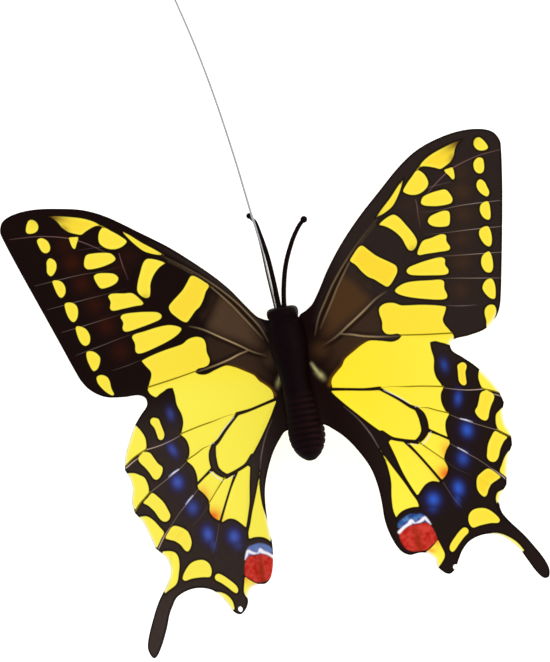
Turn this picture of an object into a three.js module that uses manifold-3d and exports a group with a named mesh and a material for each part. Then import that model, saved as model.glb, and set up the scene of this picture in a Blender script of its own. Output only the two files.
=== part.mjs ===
// A toy swallowtail butterfly on a small display stand. Two die-cut sheets of printed film are
// its wings, a moulded body carries them, and a stiff spring wire leaves the front of the head.
//
// Frame: millimetres, +Y forward (head), +X the butterfly's right, +Z up. The origin is the centre
// of the underside of the stand's base.

import * as THREE from 'three';
import { ConvexHull } from 'three/addons/math/ConvexHull.js';
import { mergeVertices } from 'three/addons/utils/BufferGeometryUtils.js';
import Module from 'manifold-3d';

const wasm = await Module();
wasm.setup();

// ---------------------------------------------------------------- driving dimensions

const gap = 0.3; // between neighbouring pieces

// Body: its axis runs along Y, level, at this height above the table.
const axisHeight = 22;
const headFront = 14;
const neckY = 11.4; // middle of the gap between head and thorax
const waistY = -3.45; // middle of the gap between thorax and abdomen
const tailEndY = -20.3;
const thoraxRadius = 4.3;
const waistRadius = 3.12;
const neckRadius = 3.25;
const abdomenRadius = 4.16;
const abdomenSag = 1.75; // its end hangs this far below the axis
const headRaise = 0.55; // the head sits this far above the axis
const ribPitch = 1.37;
const ribDepth = 0.2;
const bodyDepthRatio = 0.92; // height of the body's section over its width
const bellyFlatZ = -3.3; // flat under the thorax, where the rod stands

// Eyes: two blocky round lobes on the head's flat sides.
const headHalfWidth = 1.7;
const eyeRadii = [1.62, 1.42, 2.05];
const eyeSquareness = 2.7; // 2 would be an ellipsoid
const eyeCentreX = 1.83;
const eyeCentreY = 12.72;

// Wings: one sheet a side, cut to the outline below, with the veins pressed up in it.
const filmThickness = 0.5;
const veinHeight = 0.24;
const veinHalfWidth = 0.55; // of a pressed ridge at its foot
const filmRootX = 4;
const filmRootZ = -0.65;
const rootBend = 10.9; // how soon the sheet settles after its root
const filmSag = -4.1;
const filmPitch = 0.17; // leading edge up
const filmCamber = 0.0013;
const dihedral = 0.032;
const meshStep = 2.9; // between the sheet's free points
const edgeStep = 1.3; // between points on its edge
const veinStep = 1.9; // between points along a vein
const edgeMargin = 0.08; // free space that keeps the sheet's edge whole
const punchRadius = 0.6; // a punched hole by the inner lobe of each hindwing

// The two sheets are not quite alike. Lengths run outwards and forwards; pairs are for the forewing
// and for the hindwing.
const sheets = {
  left: {
    side: -1,
    veinShift: [-0.71, -0.85], // both sheets have their pressed veins a little to the right
    tipVeinShift: -0.25,
    cutShift: [0.66, 0.3], // of the outer edge
    cutAhead: 0.9, // the leading edge's swell
    neckAhead: -0.1, // and that beside the head
    innerSwell: { out: 0.4, middle: -21, reach: 9 }, // of the hindwing's inner edge
    tailSwell: 0.6,
    tailRim: 0,
    tailPoint: 0.45, // cut off the outer side of its end
    forewingBack: 0,
    tipBack: 0.02,
    hindStretch: 0.024, // a share of the length
    tailShift: [-0.03, -0.72],
    punchCentre: [25.05, -48.9],
  },
  right: {
    side: 1,
    veinShift: [0.71, 0.9],
    tipVeinShift: 0,
    cutShift: [-0.6, 0.22],
    cutAhead: 0.1,
    neckAhead: 0.45,
    innerSwell: { out: -0.56, middle: -35, reach: 12 },
    tailSwell: 0,
    tailRim: 0.32,
    tailPoint: 0,
    forewingBack: 0.27,
    tipBack: -0.1,
    hindStretch: 0,
    tailShift: [-0.3, 0.85],
    punchCentre: [26.9, -48.75],
  },
};

// Antennae and the spring wire.
const antennaRadius = 0.48;
const antennaBallRadius = { left: 0.66, right: 0.76 };
const wireRadius = 0.25;
const wireLoopRadius = 2;

// Stand: a flat round base and one rod.
const baseRadius = 12.5;
const baseThickness = 4;
const baseEdgeRound = 0.8;
const rodRadius = 1.5;
const rodY = 3;

// ---------------------------------------------------------------- materials

const blackPlastic = new THREE.MeshStandardMaterial({ color: 0x17120f, roughness: 0.35 });
const eyePlastic = new THREE.MeshStandardMaterial({ color: 0x120e0e, roughness: 0.25 });
const yellowFilm = new THREE.MeshStandardMaterial({ color: 0xf4dd4a, roughness: 0.3 });
const springSteel = new THREE.MeshStandardMaterial({
  color: 0xc8cacc,
  roughness: 0.25,
  metalness: 1,
});
const standPlastic = new THREE.MeshStandardMaterial({ color: 0xf2f1ee, roughness: 0.5 });

const butterfly = new THREE.Group();
const body = new THREE.Group(); // everything placed from the body's own axis
body.position.z = axisHeight;
const stand = new THREE.Group();
butterfly.add(body, stand);

function addPiece(parent, name, geometry, material) {
  const mesh = new THREE.Mesh(geometry, material);
  mesh.name = name;
  parent.add(mesh);
}

// ---------------------------------------------------------------- solids for cuts and joins

function toSolid(geometry) {
  const bare = geometry.index ? geometry.toNonIndexed() : geometry.clone();
  for (const name of Object.keys(bare.attributes)) {
    if (name !== 'position') {
      bare.deleteAttribute(name);
    }
  }
  const merged = mergeVertices(bare, 1e-4);
  const mesh = new wasm.Mesh({
    numProp: 3,
    vertProperties: Float32Array.from(merged.attributes.position.array),
    triVerts: Uint32Array.from(merged.index.array),
  });
  return new wasm.Manifold(mesh);
}

// The largest closed body of a solid, as a geometry.
function toGeometry(solid) {
  const parts = solid.decompose();
  parts.sort((a, b) => b.volume() - a.volume());
  const mesh = parts[0].getMesh();
  const geometry = new THREE.BufferGeometry();
  geometry.setAttribute('position', new THREE.BufferAttribute(mesh.vertProperties, 3));
  geometry.setIndex(new THREE.BufferAttribute(mesh.triVerts, 1));
  return geometry;
}

// ---------------------------------------------------------------- curves

// 0 below -soft, 1 above soft, and smooth between them.
function fade(distance, soft) {
  return THREE.MathUtils.smoothstep(distance, -soft, soft);
}

// A smooth curve through points, sampled about every `step` millimetres.
function sampleCurve(points, step) {
  const vectors = points.map(([x, y, z = 0]) => new THREE.Vector3(x, y, z));
  const curve = new THREE.CatmullRomCurve3(vectors, false, 'centripetal');
  const count = Math.max(1, Math.round(curve.getLength() / step));
  return curve.getSpacedPoints(count);
}

// Radius at y from a list of [y, radius], smooth between them.
function radiusAt(profile, y) {
  let i = 0;
  while (i < profile.length - 2 && y > profile[i + 1][0]) {
    i += 1;
  }
  const [y0, r0] = profile[i];
  const [y1, r1] = profile[i + 1];
  const before = profile[Math.max(i - 1, 0)];
  const after = profile[Math.min(i + 2, profile.length - 1)];
  const slope0 = (r1 - before[1]) / (y1 - before[0]);
  const slope1 = (after[1] - r0) / (after[0] - y0);
  const length = y1 - y0;
  const t = THREE.MathUtils.clamp((y - y0) / length, 0, 1);
  const rise = r0 * (1 + 2 * t) * (1 - t) ** 2 + r1 * t * t * (3 - 2 * t);
  return rise + length * (slope0 * t * (1 - t) ** 2 - slope1 * t * t * (1 - t));
}

// ---------------------------------------------------------------- body

const thoraxProfile = [
  [waistY, waistRadius],
  [-0.5, 3.35],
  [2.5, 3.95],
  [5.5, thoraxRadius],
  [8.5, 4.2],
  [10.2, 3.85],
  [neckY, neckRadius],
];

const abdomenProfile = [
  [tailEndY, 0],
  [-20.15, 0.85],
  [-19.8, 1.45],
  [-19.3, 2.1],
  [-18.7, 2.68],
  [-18, 3.15],
  [-17.2, 3.57],
  [-16, 3.96],
  [-14.6, abdomenRadius],
  [-13, 4.14],
  [-10, 3.92],
  [-6.5, 3.5],
  [waistY, waistRadius],
];

// The body's middle line: the abdomen hangs below the axis and the head sits above it.
function bodyMiddle(y) {
  return headRaise * fade(y - 11.3, 0.9) - abdomenSag * fade(-5.95 - y, 4.5);
}

// Turns a profile about the body's axis, then follows the middle line.
function turnedBody(rings, segments) {
  const profile = rings.map(([y, r]) => new THREE.Vector2(r, y));
  const geometry = new THREE.LatheGeometry(profile, segments);
  const position = geometry.attributes.position;
  for (let i = 0; i < position.count; i += 1) {
    const z = position.getZ(i) * bodyDepthRatio + bodyMiddle(position.getY(i));
    position.setZ(i, z);
  }
  return geometry;
}

function thoraxGeometry() {
  const from = waistY + gap / 2;
  const to = neckY - gap / 2;
  const steps = 12;
  const rings = [[from, 0]];
  for (let i = 0; i <= steps; i += 1) {
    const y = THREE.MathUtils.lerp(from, to, i / steps);
    rings.push([y, radiusAt(thoraxProfile, y)]);
  }
  rings.push([to, 0]);
  const barrel = toSolid(turnedBody(rings, 28));
  const below = new THREE.BoxGeometry(20, 40, 10);
  below.translate(0, 0, bellyFlatZ - 5);
  return toGeometry(barrel.subtract(toSolid(below)));
}

// Rings stand proud of the abdomen, one every rib pitch, fading out at both ends.
function abdomenGeometry() {
  const from = tailEndY;
  const to = waistY - gap / 2;
  const steps = Math.round(((to - from) / ribPitch) * 3);
  const rings = [];
  for (let i = 0; i <= steps; i += 1) {
    const y = THREE.MathUtils.lerp(from, to, i / steps);
    const depth = ribDepth * fade(y + 18.6, 1.2) * fade(-5.6 - y, 1.6);
    const groove = depth * (1 - Math.abs(Math.sin((Math.PI * (y - waistY)) / ribPitch)));
    rings.push([y, Math.max(radiusAt(abdomenProfile, y) - groove, 0)]);
  }
  rings.push([to, 0]);
  return turnedBody(rings, 24);
}

// A rounded block with flat sides for the eyes, a flat front and a flat back.
function headGeometry() {
  const from = neckY + gap / 2;
  const rings = [
    [from, 0],
    [from, neckRadius],
    [12.3, 3.3],
    [13, 3.25],
    [13.55, 2.95],
    [13.9, 2.3],
    [headFront, 2.2],
    [headFront, 0],
  ];
  const round = toSolid(turnedBody(rings, 24));
  const between = new THREE.BoxGeometry(2 * headHalfWidth, 40, 20);
  return toGeometry(round.intersect(toSolid(between)));
}

// A blocky ball, cut flat where it faces the head's side.
function eyeGeometry(side) {
  const ball = new THREE.SphereGeometry(1, 22, 14);
  const position = ball.attributes.position;
  for (let i = 0; i < position.count; i += 1) {
    const at = [position.getX(i), position.getY(i), position.getZ(i)];
    const sum = at.reduce((total, part) => total + Math.abs(part) ** eyeSquareness, 0);
    const [x, y, z] = at.map((part, k) => part * eyeRadii[k] * sum ** (-1 / eyeSquareness));
    position.setXYZ(i, side * eyeCentreX + x, eyeCentreY + y, headRaise + z);
  }
  const inner = headHalfWidth + gap;
  const outside = new THREE.BoxGeometry(10, 40, 20);
  outside.translate(side * (inner + 5), 0, 0);
  const ahead = new THREE.BoxGeometry(20, 20, 20);
  ahead.translate(0, neckY + gap / 2 + 10, 0);
  return toGeometry(toSolid(ball).intersect(toSolid(outside)).intersect(toSolid(ahead)));
}

addPiece(body, 'head', headGeometry(), blackPlastic);
addPiece(body, 'thorax', thoraxGeometry(), blackPlastic);
addPiece(body, 'abdomen', abdomenGeometry(), blackPlastic);
addPiece(body, 'eye_left', eyeGeometry(-1), eyePlastic);
addPiece(body, 'eye_right', eyeGeometry(1), eyePlastic);

// ---------------------------------------------------------------- antennae and wire

const antennaRoutes = {
  left: [
    [-0.68, headFront + gap, 0.4],
    [-0.98, 20, 0.2],
    [-1.79, 26, -0.6],
    [-3.12, 31, -1.7],
    [-4, 33.6, -2.4],
    [-4.7, 34.45, -2.7],
    [-5.4, 35.25, -3],
  ],
  right: [
    [0.62, headFront + gap, 0.4],
    [1.2, 18, 0.4],
    [2.42, 23, 0],
    [4.5, 28, -0.9],
    [6.25, 31, -1.9],
    [7.42, 32.3, -2.6],
  ],
};

// A round bar along a route, with flat ends.
function barGeometry(curve, radius, sides, steps) {
  const section = new THREE.Shape();
  for (let i = 0; i < sides; i += 1) {
    const angle = (2 * Math.PI * i) / sides;
    section[i ? 'lineTo' : 'moveTo'](radius * Math.cos(angle), radius * Math.sin(angle));
  }
  return new THREE.ExtrudeGeometry(section, { steps, extrudePath: curve });
}

function antennaGeometry(side) {
  const points = antennaRoutes[side].map(([x, y, z]) => new THREE.Vector3(x, y, z));
  const curve = new THREE.CatmullRomCurve3(points);
  const stem = toSolid(barGeometry(curve, antennaRadius, 8, 16));
  const ball = new THREE.SphereGeometry(antennaBallRadius[side], 12, 8);
  const tip = points.at(-1);
  ball.translate(tip.x, tip.y, tip.z);
  return toGeometry(stem.add(toSolid(ball)));
}

// The wire rises ahead of the head, ever steeper, and ends in an open round eye.
function wireGeometry() {
  const route = [
    [-0.9, headFront + gap, 1.9],
    [-0.77, 21, 3.5],
    [-0.57, 28, 5.1],
    [-0.5, 36, 8],
    [-0.33, 48, 12.4],
    [-0.2, 61.4, 18.3],
    [-0.05, 73, 24.9],
    [0, 84.6, 32.9],
    [0, 88.5, 35.9],
  ];
  const points = route.map(([x, y, z]) => new THREE.Vector3(x, y, z));
  const end = points.at(-1);
  const heading = Math.atan2(3, 3.9);
  const turns = 9;
  for (let i = 1; i <= turns; i += 1) {
    const swept = (i / turns) * THREE.MathUtils.degToRad(285);
    const angle = heading + swept;
    const y = end.y + wireLoopRadius * (Math.sin(angle) - Math.sin(heading));
    const z = end.z - wireLoopRadius * (Math.cos(angle) - Math.cos(heading));
    points.push(new THREE.Vector3(0, y, z));
  }
  const curve = new THREE.CatmullRomCurve3(points, false, 'centripetal');
  return barGeometry(curve, wireRadius, 8, 64);
}

addPiece(body, 'antenna_left', antennaGeometry('left'), blackPlastic);
addPiece(body, 'antenna_right', antennaGeometry('right'), blackPlastic);
addPiece(body, 'spring_wire', wireGeometry(), springSteel);

// ---------------------------------------------------------------- wing sheets

// The cut outline of one sheet, as distances outwards and forwards from the body's axis. Each
// stretch is smooth, and the stretches meet in corners.
const cutOutline = [
  [
    [5.2, 12.2], [6.8, 13.2], [8.8, 15.7], [12, 20.2], [15.9, 24.5], [22.2, 30.1], [28.7, 35],
    [35.5, 39.9], [40.5, 42.6], [46, 44.2], [51.5, 44.9], [56, 44.6], [58.9, 43.5], [60.1, 41.5],
    [59.9, 39.5], [58, 31.9], [55.2, 22], [52.8, 13.7], [51.4, 8.9], [50.2, 5.6], [48.4, 3.3],
    [45.6, 1.6], [41.5, 0.9], [38, 0.7], [36.6, -0.2], [36.7, -1.8], [38.6, -3.6], [40.9, -6],
    [42.9, -8.9], [44.6, -12], [45.4, -15],
  ],
  [[45.4, -15], [44.6, -17.2], [44.6, -19.6], [45.4, -22], [45.2, -24.5]],
  [[45.2, -24.5], [43.7, -26.9], [42.9, -29.6], [42, -32.9]],
  [
    [42, -32.9], [40.2, -34.9], [39.5, -36.7], [39.7, -38.7], [41.3, -41.2], [43.8, -44.3],
    [46.1, -48], [47.8, -51.2], [48.5, -53.6], [48.1, -55.2], [46.9, -55.3], [45.3, -53.3],
    [43.8, -50.2], [42.3, -46.9], [40.1, -44.4], [37.3, -43.1], [34.4, -42.8], [31.3, -43.6],
    [29.2, -45.3], [27.8, -47.4], [26.8, -49.1], [25.3, -50], [23.9, -49.2], [22.9, -47.7],
    [22.9, -46.3],
  ],
  [
    [22.9, -46.3], [21.5, -44.8], [19.6, -44.3], [17.6, -44.4], [15.9, -43.1], [14.6, -39.8],
    [14, -36.1], [14, -31.7], [13.7, -28.1], [12.8, -24.2], [10.9, -20.2], [8.4, -16.4],
    [5.6, -13.6], [4.9, -13.1],
  ],
];

// Middle lines of the pressed veins, forewing first, outwards and forwards like the cut outline.
const veins = [
  [
    [5.4, 6.7], [6.95, 10.4], [9.1, 13.6], [11.7, 17.1], [15.85, 21.6], [20.9, 26.05],
    [27.2, 30.7], [33.5, 36.6],
  ],
  [
    [6.8, 7.9], [8.6, 10.5], [10.65, 13.4], [13.1, 16.9], [17.2, 21.8], [21.5, 25.8],
    [25.5, 28.7], [33.5, 32.8], [39, 33.7], [44, 36.4], [50, 38.6], [58, 39.4],
  ],
  [
    [7.6, 4.3], [13, 7.7], [17, 10.2], [21, 12.6], [25, 14.2], [29.4, 17.2], [33, 21],
    [34.3, 26.5], [34.5, 33],
  ],
  [[34.5, 33], [40, 33.8], [47, 34], [54.5, 33.2]],
  [[34.5, 29], [40, 29.1], [46, 28.8], [56.5, 28.3]],
  [[34, 24.2], [40, 24], [46, 23.4], [54.8, 22.8]],
  [[31, 19.8], [38, 19], [45, 18.1], [53.3, 17.2]],
  [[28, 15.6], [34, 14.6], [40, 13.7], [51.5, 11.8]],
  [[24.5, 13.6], [29, 10.8], [37.5, 8.1], [43, 7], [50, 6]],
  [[11.5, 6], [16, 4.8], [22, 3.5], [30, 2.5], [36.8, 1.5]],
  [[6.8, -5.5], [11, -6.3], [17, -7.1], [22, -7.8], [31.8, -9.3], [36, -10.6], [44.6, -13.4]],
  [
    [17, -7.1], [20.5, -9.8], [24, -12.6], [28, -13.7], [31.5, -15.1], [38.5, -19.3],
    [44.8, -23],
  ],
  [[24, -12.6], [25.5, -15], [25.8, -18], [23.5, -20.3]],
  [[25.8, -18], [30.3, -20.8], [33, -23.6], [36, -26.5], [41.8, -31.9]],
  [[23.5, -20.3], [28.5, -25.3], [34.5, -29.3], [38.7, -33.4], [41, -40], [46.5, -52]],
  [[20.3, -19.6], [26.5, -29.7], [28.5, -33.5], [31.5, -43]],
  [[6.8, -6.5], [11, -11.5], [15.8, -17], [20.3, -19.6], [23.5, -20.3]],
  [[15.5, -17], [17.5, -23], [19.8, -30], [21.2, -34.5], [24.8, -46]],
];

// The sheet's height over the body's axis: it leaves the body level, settles, and then rises
// towards its tip, with its leading edge up and a shallow bow from front to back.
function filmHeight(x, y) {
  const out = Math.max(x - filmRootX, 0);
  const settled = 1 - Math.exp(-out / rootBend);
  return filmRootZ + settled * (filmSag + filmPitch * y + filmCamber * y * y) + dihedral * out;
}

function bodyRadius(y) {
  return y > waistY ? radiusAt(thoraxProfile, y) : radiusAt(abdomenProfile, y);
}

// One value at the forewing and another at the hindwing, blended between them.
function blend([fore, hind], y) {
  return THREE.MathUtils.lerp(hind, fore, fade(y + 4, 8));
}

// Where a point of the cut outline is cut on one of the sheets.
function cutPoint(sheet, { x, y }) {
  const { out, middle, reach } = sheet.innerSwell;
  let outwards = blend(sheet.cutShift, y) * blend([fade(x - 14, 6), fade(x - 36, 4)], y);
  if (x < 19) {
    outwards += out * Math.exp(-(((y - middle) / reach) ** 2));
  }
  let rim = 0;
  if (x < 41 - 0.55 * (y + 43)) {
    const behind = fade(-44.5 - y, 1.5) * fade(x - 38, 3);
    outwards -= sheet.tailSwell * behind * fade(y + 51.5, 3.5);
    rim = y < -42 ? sheet.tailRim * Math.exp(-(((x - 41) / 2.3) ** 2)) : 0;
  } else {
    outwards -= sheet.tailPoint * fade(-53.8 - y, 1.5);
  }
  let ahead = 0;
  if (y > 0.65 * x + 6) {
    ahead = sheet.cutAhead * fade(x - 16, 8) * fade(40 - x, 7);
    ahead += sheet.neckAhead * Math.exp(-(((x - 8) / 4) ** 2));
  }
  return new THREE.Vector2(x + outwards - rim, y + ahead - rim);
}

// Where a point of the flat sheet comes to lie.
function placed(sheet, x, y) {
  const tail = fade(-49.5 - y, 5.5) * fade(x - 37, 4);
  const fore = sheet.forewingBack * fade(x - 14, 6) + sheet.tipBack * fade(x - 43, 7);
  const back = fore * fade(y + 4, 8) + sheet.hindStretch * Math.max(-17.6 - y, 0);
  return [x + sheet.tailShift[0] * tail, y - back + sheet.tailShift[1] * tail];
}

// The closed outline of one sheet, its root edge following the body's side.
function sheetOutline(sheet) {
  const outline = [];
  for (const stretch of cutOutline) {
    const points = sampleCurve(stretch, edgeStep).slice(1);
    outline.push(...points.map((p) => cutPoint(sheet, p)));
  }
  const rear = cutOutline.at(-1).at(-1)[1];
  const front = 11;
  const steps = Math.round((front - rear) / edgeStep);
  for (let i = 1; i <= steps; i += 1) {
    const y = THREE.MathUtils.lerp(rear, front, i / steps);
    outline.push(new THREE.Vector2(bodyRadius(y) + gap, y));
  }
  outline.push(cutPoint(sheet, new THREE.Vector2(...cutOutline[0][0])));
  return outline;
}

function isInside(outline, x, y) {
  let inside = false;
  for (let i = 0, j = outline.length - 1; i < outline.length; j = i, i += 1) {
    const a = outline[i];
    const b = outline[j];
    if (a.y > y !== b.y > y && x < ((b.x - a.x) * (y - a.y)) / (b.y - a.y) + a.x) {
      inside = !inside;
    }
  }
  return inside;
}

function distanceToSegment(a, b, x, y) {
  const along = (x - a.x) * (b.x - a.x) + (y - a.y) * (b.y - a.y);
  const t = THREE.MathUtils.clamp(along / ((b.x - a.x) ** 2 + (b.y - a.y) ** 2), 0, 1);
  return Math.hypot(a.x + t * (b.x - a.x) - x, a.y + t * (b.y - a.y) - y);
}

function distanceToLines(lines, x, y) {
  let nearest = Infinity;
  for (const line of lines) {
    for (let i = 1; i < line.length; i += 1) {
      nearest = Math.min(nearest, distanceToSegment(line[i - 1], line[i], x, y));
    }
  }
  return nearest;
}

// Whether a point is inside the outline and leaves each of its edges a round of free space.
function isFree(outline, x, y, margin) {
  const clear = outline.every((a, i) => {
    const b = outline[(i + 1) % outline.length];
    const half = Math.hypot(b.x - a.x, b.y - a.y) / 2;
    return Math.hypot((a.x + b.x) / 2 - x, (a.y + b.y) / 2 - y) > half + margin;
  });
  return clear && isInside(outline, x, y);
}

// The sheet's points: its edge, each vein's middle line and feet, and a loose grid between.
function sheetPoints(outline, lines) {
  const points = outline.map(({ x, y }) => ({ x, y }));
  const add = (x, y, spacing, margin) => {
    const apart = points.every((p) => Math.hypot(p.x - x, p.y - y) > spacing);
    if (apart && isFree(outline, x, y, margin)) {
      points.push({ x, y });
    }
  };
  for (const line of lines) {
    line.forEach(({ x, y }) => add(x, y, veinHalfWidth, edgeMargin));
  }
  for (const line of lines) {
    line.forEach((p, i) => {
      const before = line[Math.max(i - 1, 0)];
      const after = line[Math.min(i + 1, line.length - 1)];
      const heading = Math.atan2(after.y - before.y, after.x - before.x);
      for (const turn of [-1, 1]) {
        const x = p.x - turn * veinHalfWidth * Math.sin(heading);
        const y = p.y + turn * veinHalfWidth * Math.cos(heading);
        if (distanceToLines(lines, x, y) > 0.9 * veinHalfWidth) {
          add(x, y, 0.9 * veinHalfWidth, edgeMargin);
        }
      }
    });
  }
  const rowStep = meshStep * Math.sqrt(0.75);
  for (let row = 0, y = -56; y < 46; row += 1, y += rowStep) {
    for (let x = (row % 2) * 0.5 * meshStep; x < 62; x += meshStep) {
      const offset = 0.07 * Math.sin(12.9 * x + 7.3 * y); // keeps four points off one circle
      add(x + offset, y - offset, 0.55 * meshStep, 0.3 * meshStep);
    }
  }
  return points;
}

// Flat Delaunay triangles of the points, which are those of the lower hull of the points lifted
// onto a paraboloid. Only triangles inside the outline are kept.
function triangulate(points, outline) {
  const scale = 1 / 60;
  const lifted = points.map((p) => {
    const x = p.x * scale;
    const y = p.y * scale;
    return Object.assign(new THREE.Vector3(x, y, x * x + y * y), { id: p.id });
  });
  const triangles = [];
  for (const face of new ConvexHull().setFromPoints(lifted).faces) {
    const ids = [];
    let edge = face.edge;
    do {
      ids.push(edge.head().point.id);
      edge = edge.next;
    } while (edge !== face.edge);
    const [a, b, c] = ids.map((id) => points[id]);
    const x = (a.x + b.x + c.x) / 3;
    const y = (a.y + b.y + c.y) / 3;
    if (face.normal.z < 0 && isInside(outline, x, y)) {
      triangles.push(ids.reverse());
    }
  }
  return triangles;
}

// A round hole through the sheet, or a bite where it runs over the edge.
function punch(geometry, sheet) {
  const [x, y] = placed(sheet, ...sheet.punchCentre);
  const cutter = new THREE.CylinderGeometry(punchRadius, punchRadius, 20, 16);
  cutter.rotateX(Math.PI / 2);
  cutter.translate(sheet.side * x, y, filmHeight(...sheet.punchCentre));
  return toGeometry(toSolid(geometry).subtract(toSolid(cutter)));
}

// One sheet: the same triangles above and below, and a wall round the edge.
function sheetGeometry(sheet) {
  const { side } = sheet;
  const outline = sheetOutline(sheet);
  const lines = veins.map((vein) => {
    const shifted = vein.map(([x, y]) => {
      const shift = blend(sheet.veinShift, y) + sheet.tipVeinShift * fade(y - 33, 4);
      return [x + shift, y];
    });
    return sampleCurve(shifted, veinStep);
  });
  const points = sheetPoints(outline, lines);
  points.forEach((p, id) => Object.assign(p, { id }));
  const triangles = triangulate(points, outline);

  const count = points.length;
  const position = new Float32Array(6 * count);
  points.forEach((p, id) => {
    const ridge = veinHeight * Math.max(0, 1 - distanceToLines(lines, p.x, p.y) / veinHalfWidth);
    const z = filmHeight(p.x, p.y) + ridge;
    const [x, y] = placed(sheet, p.x, p.y);
    position.set([side * x, y, z + filmThickness / 2], 3 * id);
    position.set([side * x, y, z - filmThickness / 2], 3 * (count + id));
  });
  const index = [];
  for (const [a, b, c] of triangles) {
    index.push(a, b, c, count + a, count + c, count + b);
  }
  for (let i = 0; i < outline.length; i += 1) {
    const j = (i + 1) % outline.length;
    index.push(i, j, count + i, j, count + j, count + i);
  }
  if (side * signedArea(outline) > 0) {
    index.forEach((_, i) => {
      if (i % 3 === 1) {
        [index[i], index[i + 1]] = [index[i + 1], index[i]];
      }
    });
  }
  const geometry = new THREE.BufferGeometry();
  geometry.setAttribute('position', new THREE.BufferAttribute(position, 3));
  geometry.setIndex(index);
  return punch(geometry, sheet);
}

function signedArea(outline) {
  return outline.reduce((sum, p, i) => {
    const q = outline[(i + 1) % outline.length];
    return sum + (p.x * q.y - q.x * p.y) / 2;
  }, 0);
}

addPiece(body, 'wing_left', sheetGeometry(sheets.left), yellowFilm);
addPiece(body, 'wing_right', sheetGeometry(sheets.right), yellowFilm);

// ---------------------------------------------------------------- stand

function baseGeometry() {
  const round = baseEdgeRound;
  const profile = [new THREE.Vector2(0, 0), new THREE.Vector2(baseRadius, 0)];
  for (let i = 0; i <= 4; i += 1) {
    const angle = (i / 4) * (Math.PI / 2);
    const r = baseRadius - round + round * Math.cos(angle);
    profile.push(new THREE.Vector2(r, baseThickness - round + round * Math.sin(angle)));
  }
  profile.push(new THREE.Vector2(0, baseThickness));
  const geometry = new THREE.LatheGeometry(profile, 64);
  geometry.rotateX(Math.PI / 2);
  return geometry;
}

function rodGeometry() {
  const from = baseThickness + gap;
  const to = axisHeight + bellyFlatZ - gap;
  const rod = new THREE.CylinderGeometry(rodRadius, rodRadius, to - from, 24, 1);
  rod.rotateX(Math.PI / 2);
  rod.translate(0, rodY, (from + to) / 2);
  return rod;
}

addPiece(stand, 'stand_base', baseGeometry(), standPlastic);
addPiece(stand, 'stand_rod', rodGeometry(), standPlastic);

export default butterfly;
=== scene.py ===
"""Looks of a toy swallowtail butterfly: printed film wings, a moulded body, a wire and its stand.

Lengths are millimetres in the body's own frame (origin on the body's axis, +Y towards the head, +X
the butterfly's right, +Z up) until a mesh is made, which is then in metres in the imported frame.
The print and the sheets are drawn flat, as points outwards from the body and forwards.
"""

import math

import bpy
import numpy as np
from mathutils import Matrix, Vector
from mathutils.geometry import delaunay_2d_cdt


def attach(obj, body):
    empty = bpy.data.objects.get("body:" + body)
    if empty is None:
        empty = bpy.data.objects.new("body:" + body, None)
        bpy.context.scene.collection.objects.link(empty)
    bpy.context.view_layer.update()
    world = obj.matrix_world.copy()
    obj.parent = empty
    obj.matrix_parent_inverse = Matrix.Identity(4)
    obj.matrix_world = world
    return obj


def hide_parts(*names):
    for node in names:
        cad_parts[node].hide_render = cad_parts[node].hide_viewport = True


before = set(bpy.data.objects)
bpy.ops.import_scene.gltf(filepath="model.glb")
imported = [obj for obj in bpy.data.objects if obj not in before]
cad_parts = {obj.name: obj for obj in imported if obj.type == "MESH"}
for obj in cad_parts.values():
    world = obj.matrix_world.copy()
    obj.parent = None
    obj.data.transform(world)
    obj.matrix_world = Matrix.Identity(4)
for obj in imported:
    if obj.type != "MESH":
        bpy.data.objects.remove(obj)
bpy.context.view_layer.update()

MM = 0.001
CORNER = True  # third value of an outline's point that isn't rounded

# Body and sheets, as the solids have them.
AXIS_HEIGHT = 22.0  # of the body's axis above the floor
WAIST_Y = -3.45
TAIL_END_Y = -20.3
HEAD_FRONT = 14.0
BELLY_FLAT_Z = -3.3
FILM_ROOT_X = 4.0
FILM_ROOT_Z = -0.65
ROOT_BEND = 10.9  # how far out the sheet settles
FILM_SAG = -4.1
FILM_PITCH = 0.17
FILM_CAMBER = 0.0013
DIHEDRAL = 0.032
VEIN_HEIGHT = 0.2
VEIN_HALF_WIDTH = 0.36
PUNCH_RADIUS = 0.6
PUNCH_CENTRE = {-1: (25.05, -48.9), 1: (26.9, -48.75)}

FILM_THICKNESS = 0.3  # the solids' sheets are thicker
MESH_STEP = 0.36  # between the film's points

# What differs between the left sheet, -1, and the right one, 1. A pair is the forewing's value and
# the hindwing's. Outwards and forwards are seen from the pattern's own place.
PRINT_DRIFT = {-1: (-0.71, -0.85), 1: (0.71, 0.9)}  # the print, outwards
PRINT_DRIFT_TIP = {-1: -0.25, 1: 0.0}  # and more of it at the forewing's tip
CUT_DRIFT = {-1: (0.66, 0.3), 1: (-0.6, 0.22)}  # the cut edge, outwards
CUT_AHEAD = {-1: 0.9, 1: 0.1}  # the forewing's leading edge, forwards
CUT_NECK = {-1: -0.1, 1: 0.45}  # and beside the head
CUT_INSIDE = {-1: (0.4, -21, 9), 1: (-0.56, -35, 12)}  # inner edge: outwards, middle, half length
TAIL_SWELL = {-1: 0.6, 1: 0.0}  # the tail's inner side, inwards
TAIL_RIM = {-1: 0.0, 1: 0.32}  # the same side by the tail's root, inwards and backwards
TAIL_POINT = {-1: 0.45, 1: 0.0}  # the outer side of the tail's end, inwards
FOREWING_BACK = {-1: 0.0, 1: 0.27}  # the forewing but for its root, backwards
TIP_BACK = {-1: 0.02, 1: -0.1}  # and its tip
HIND_STRETCH = {-1: 0.024, 1: 0.0}  # the hindwing, backwards for each millimetre of its length
HIND_STRETCH_Y = -17.6  # where that starts
TAIL_SHIFT = {-1: (-0.03, -0.72), 1: (-0.3, 0.85)}  # the tail's end, outwards and forwards
WINGS_MEET_Y = -4
WINGS_BLEND = 8

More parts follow.
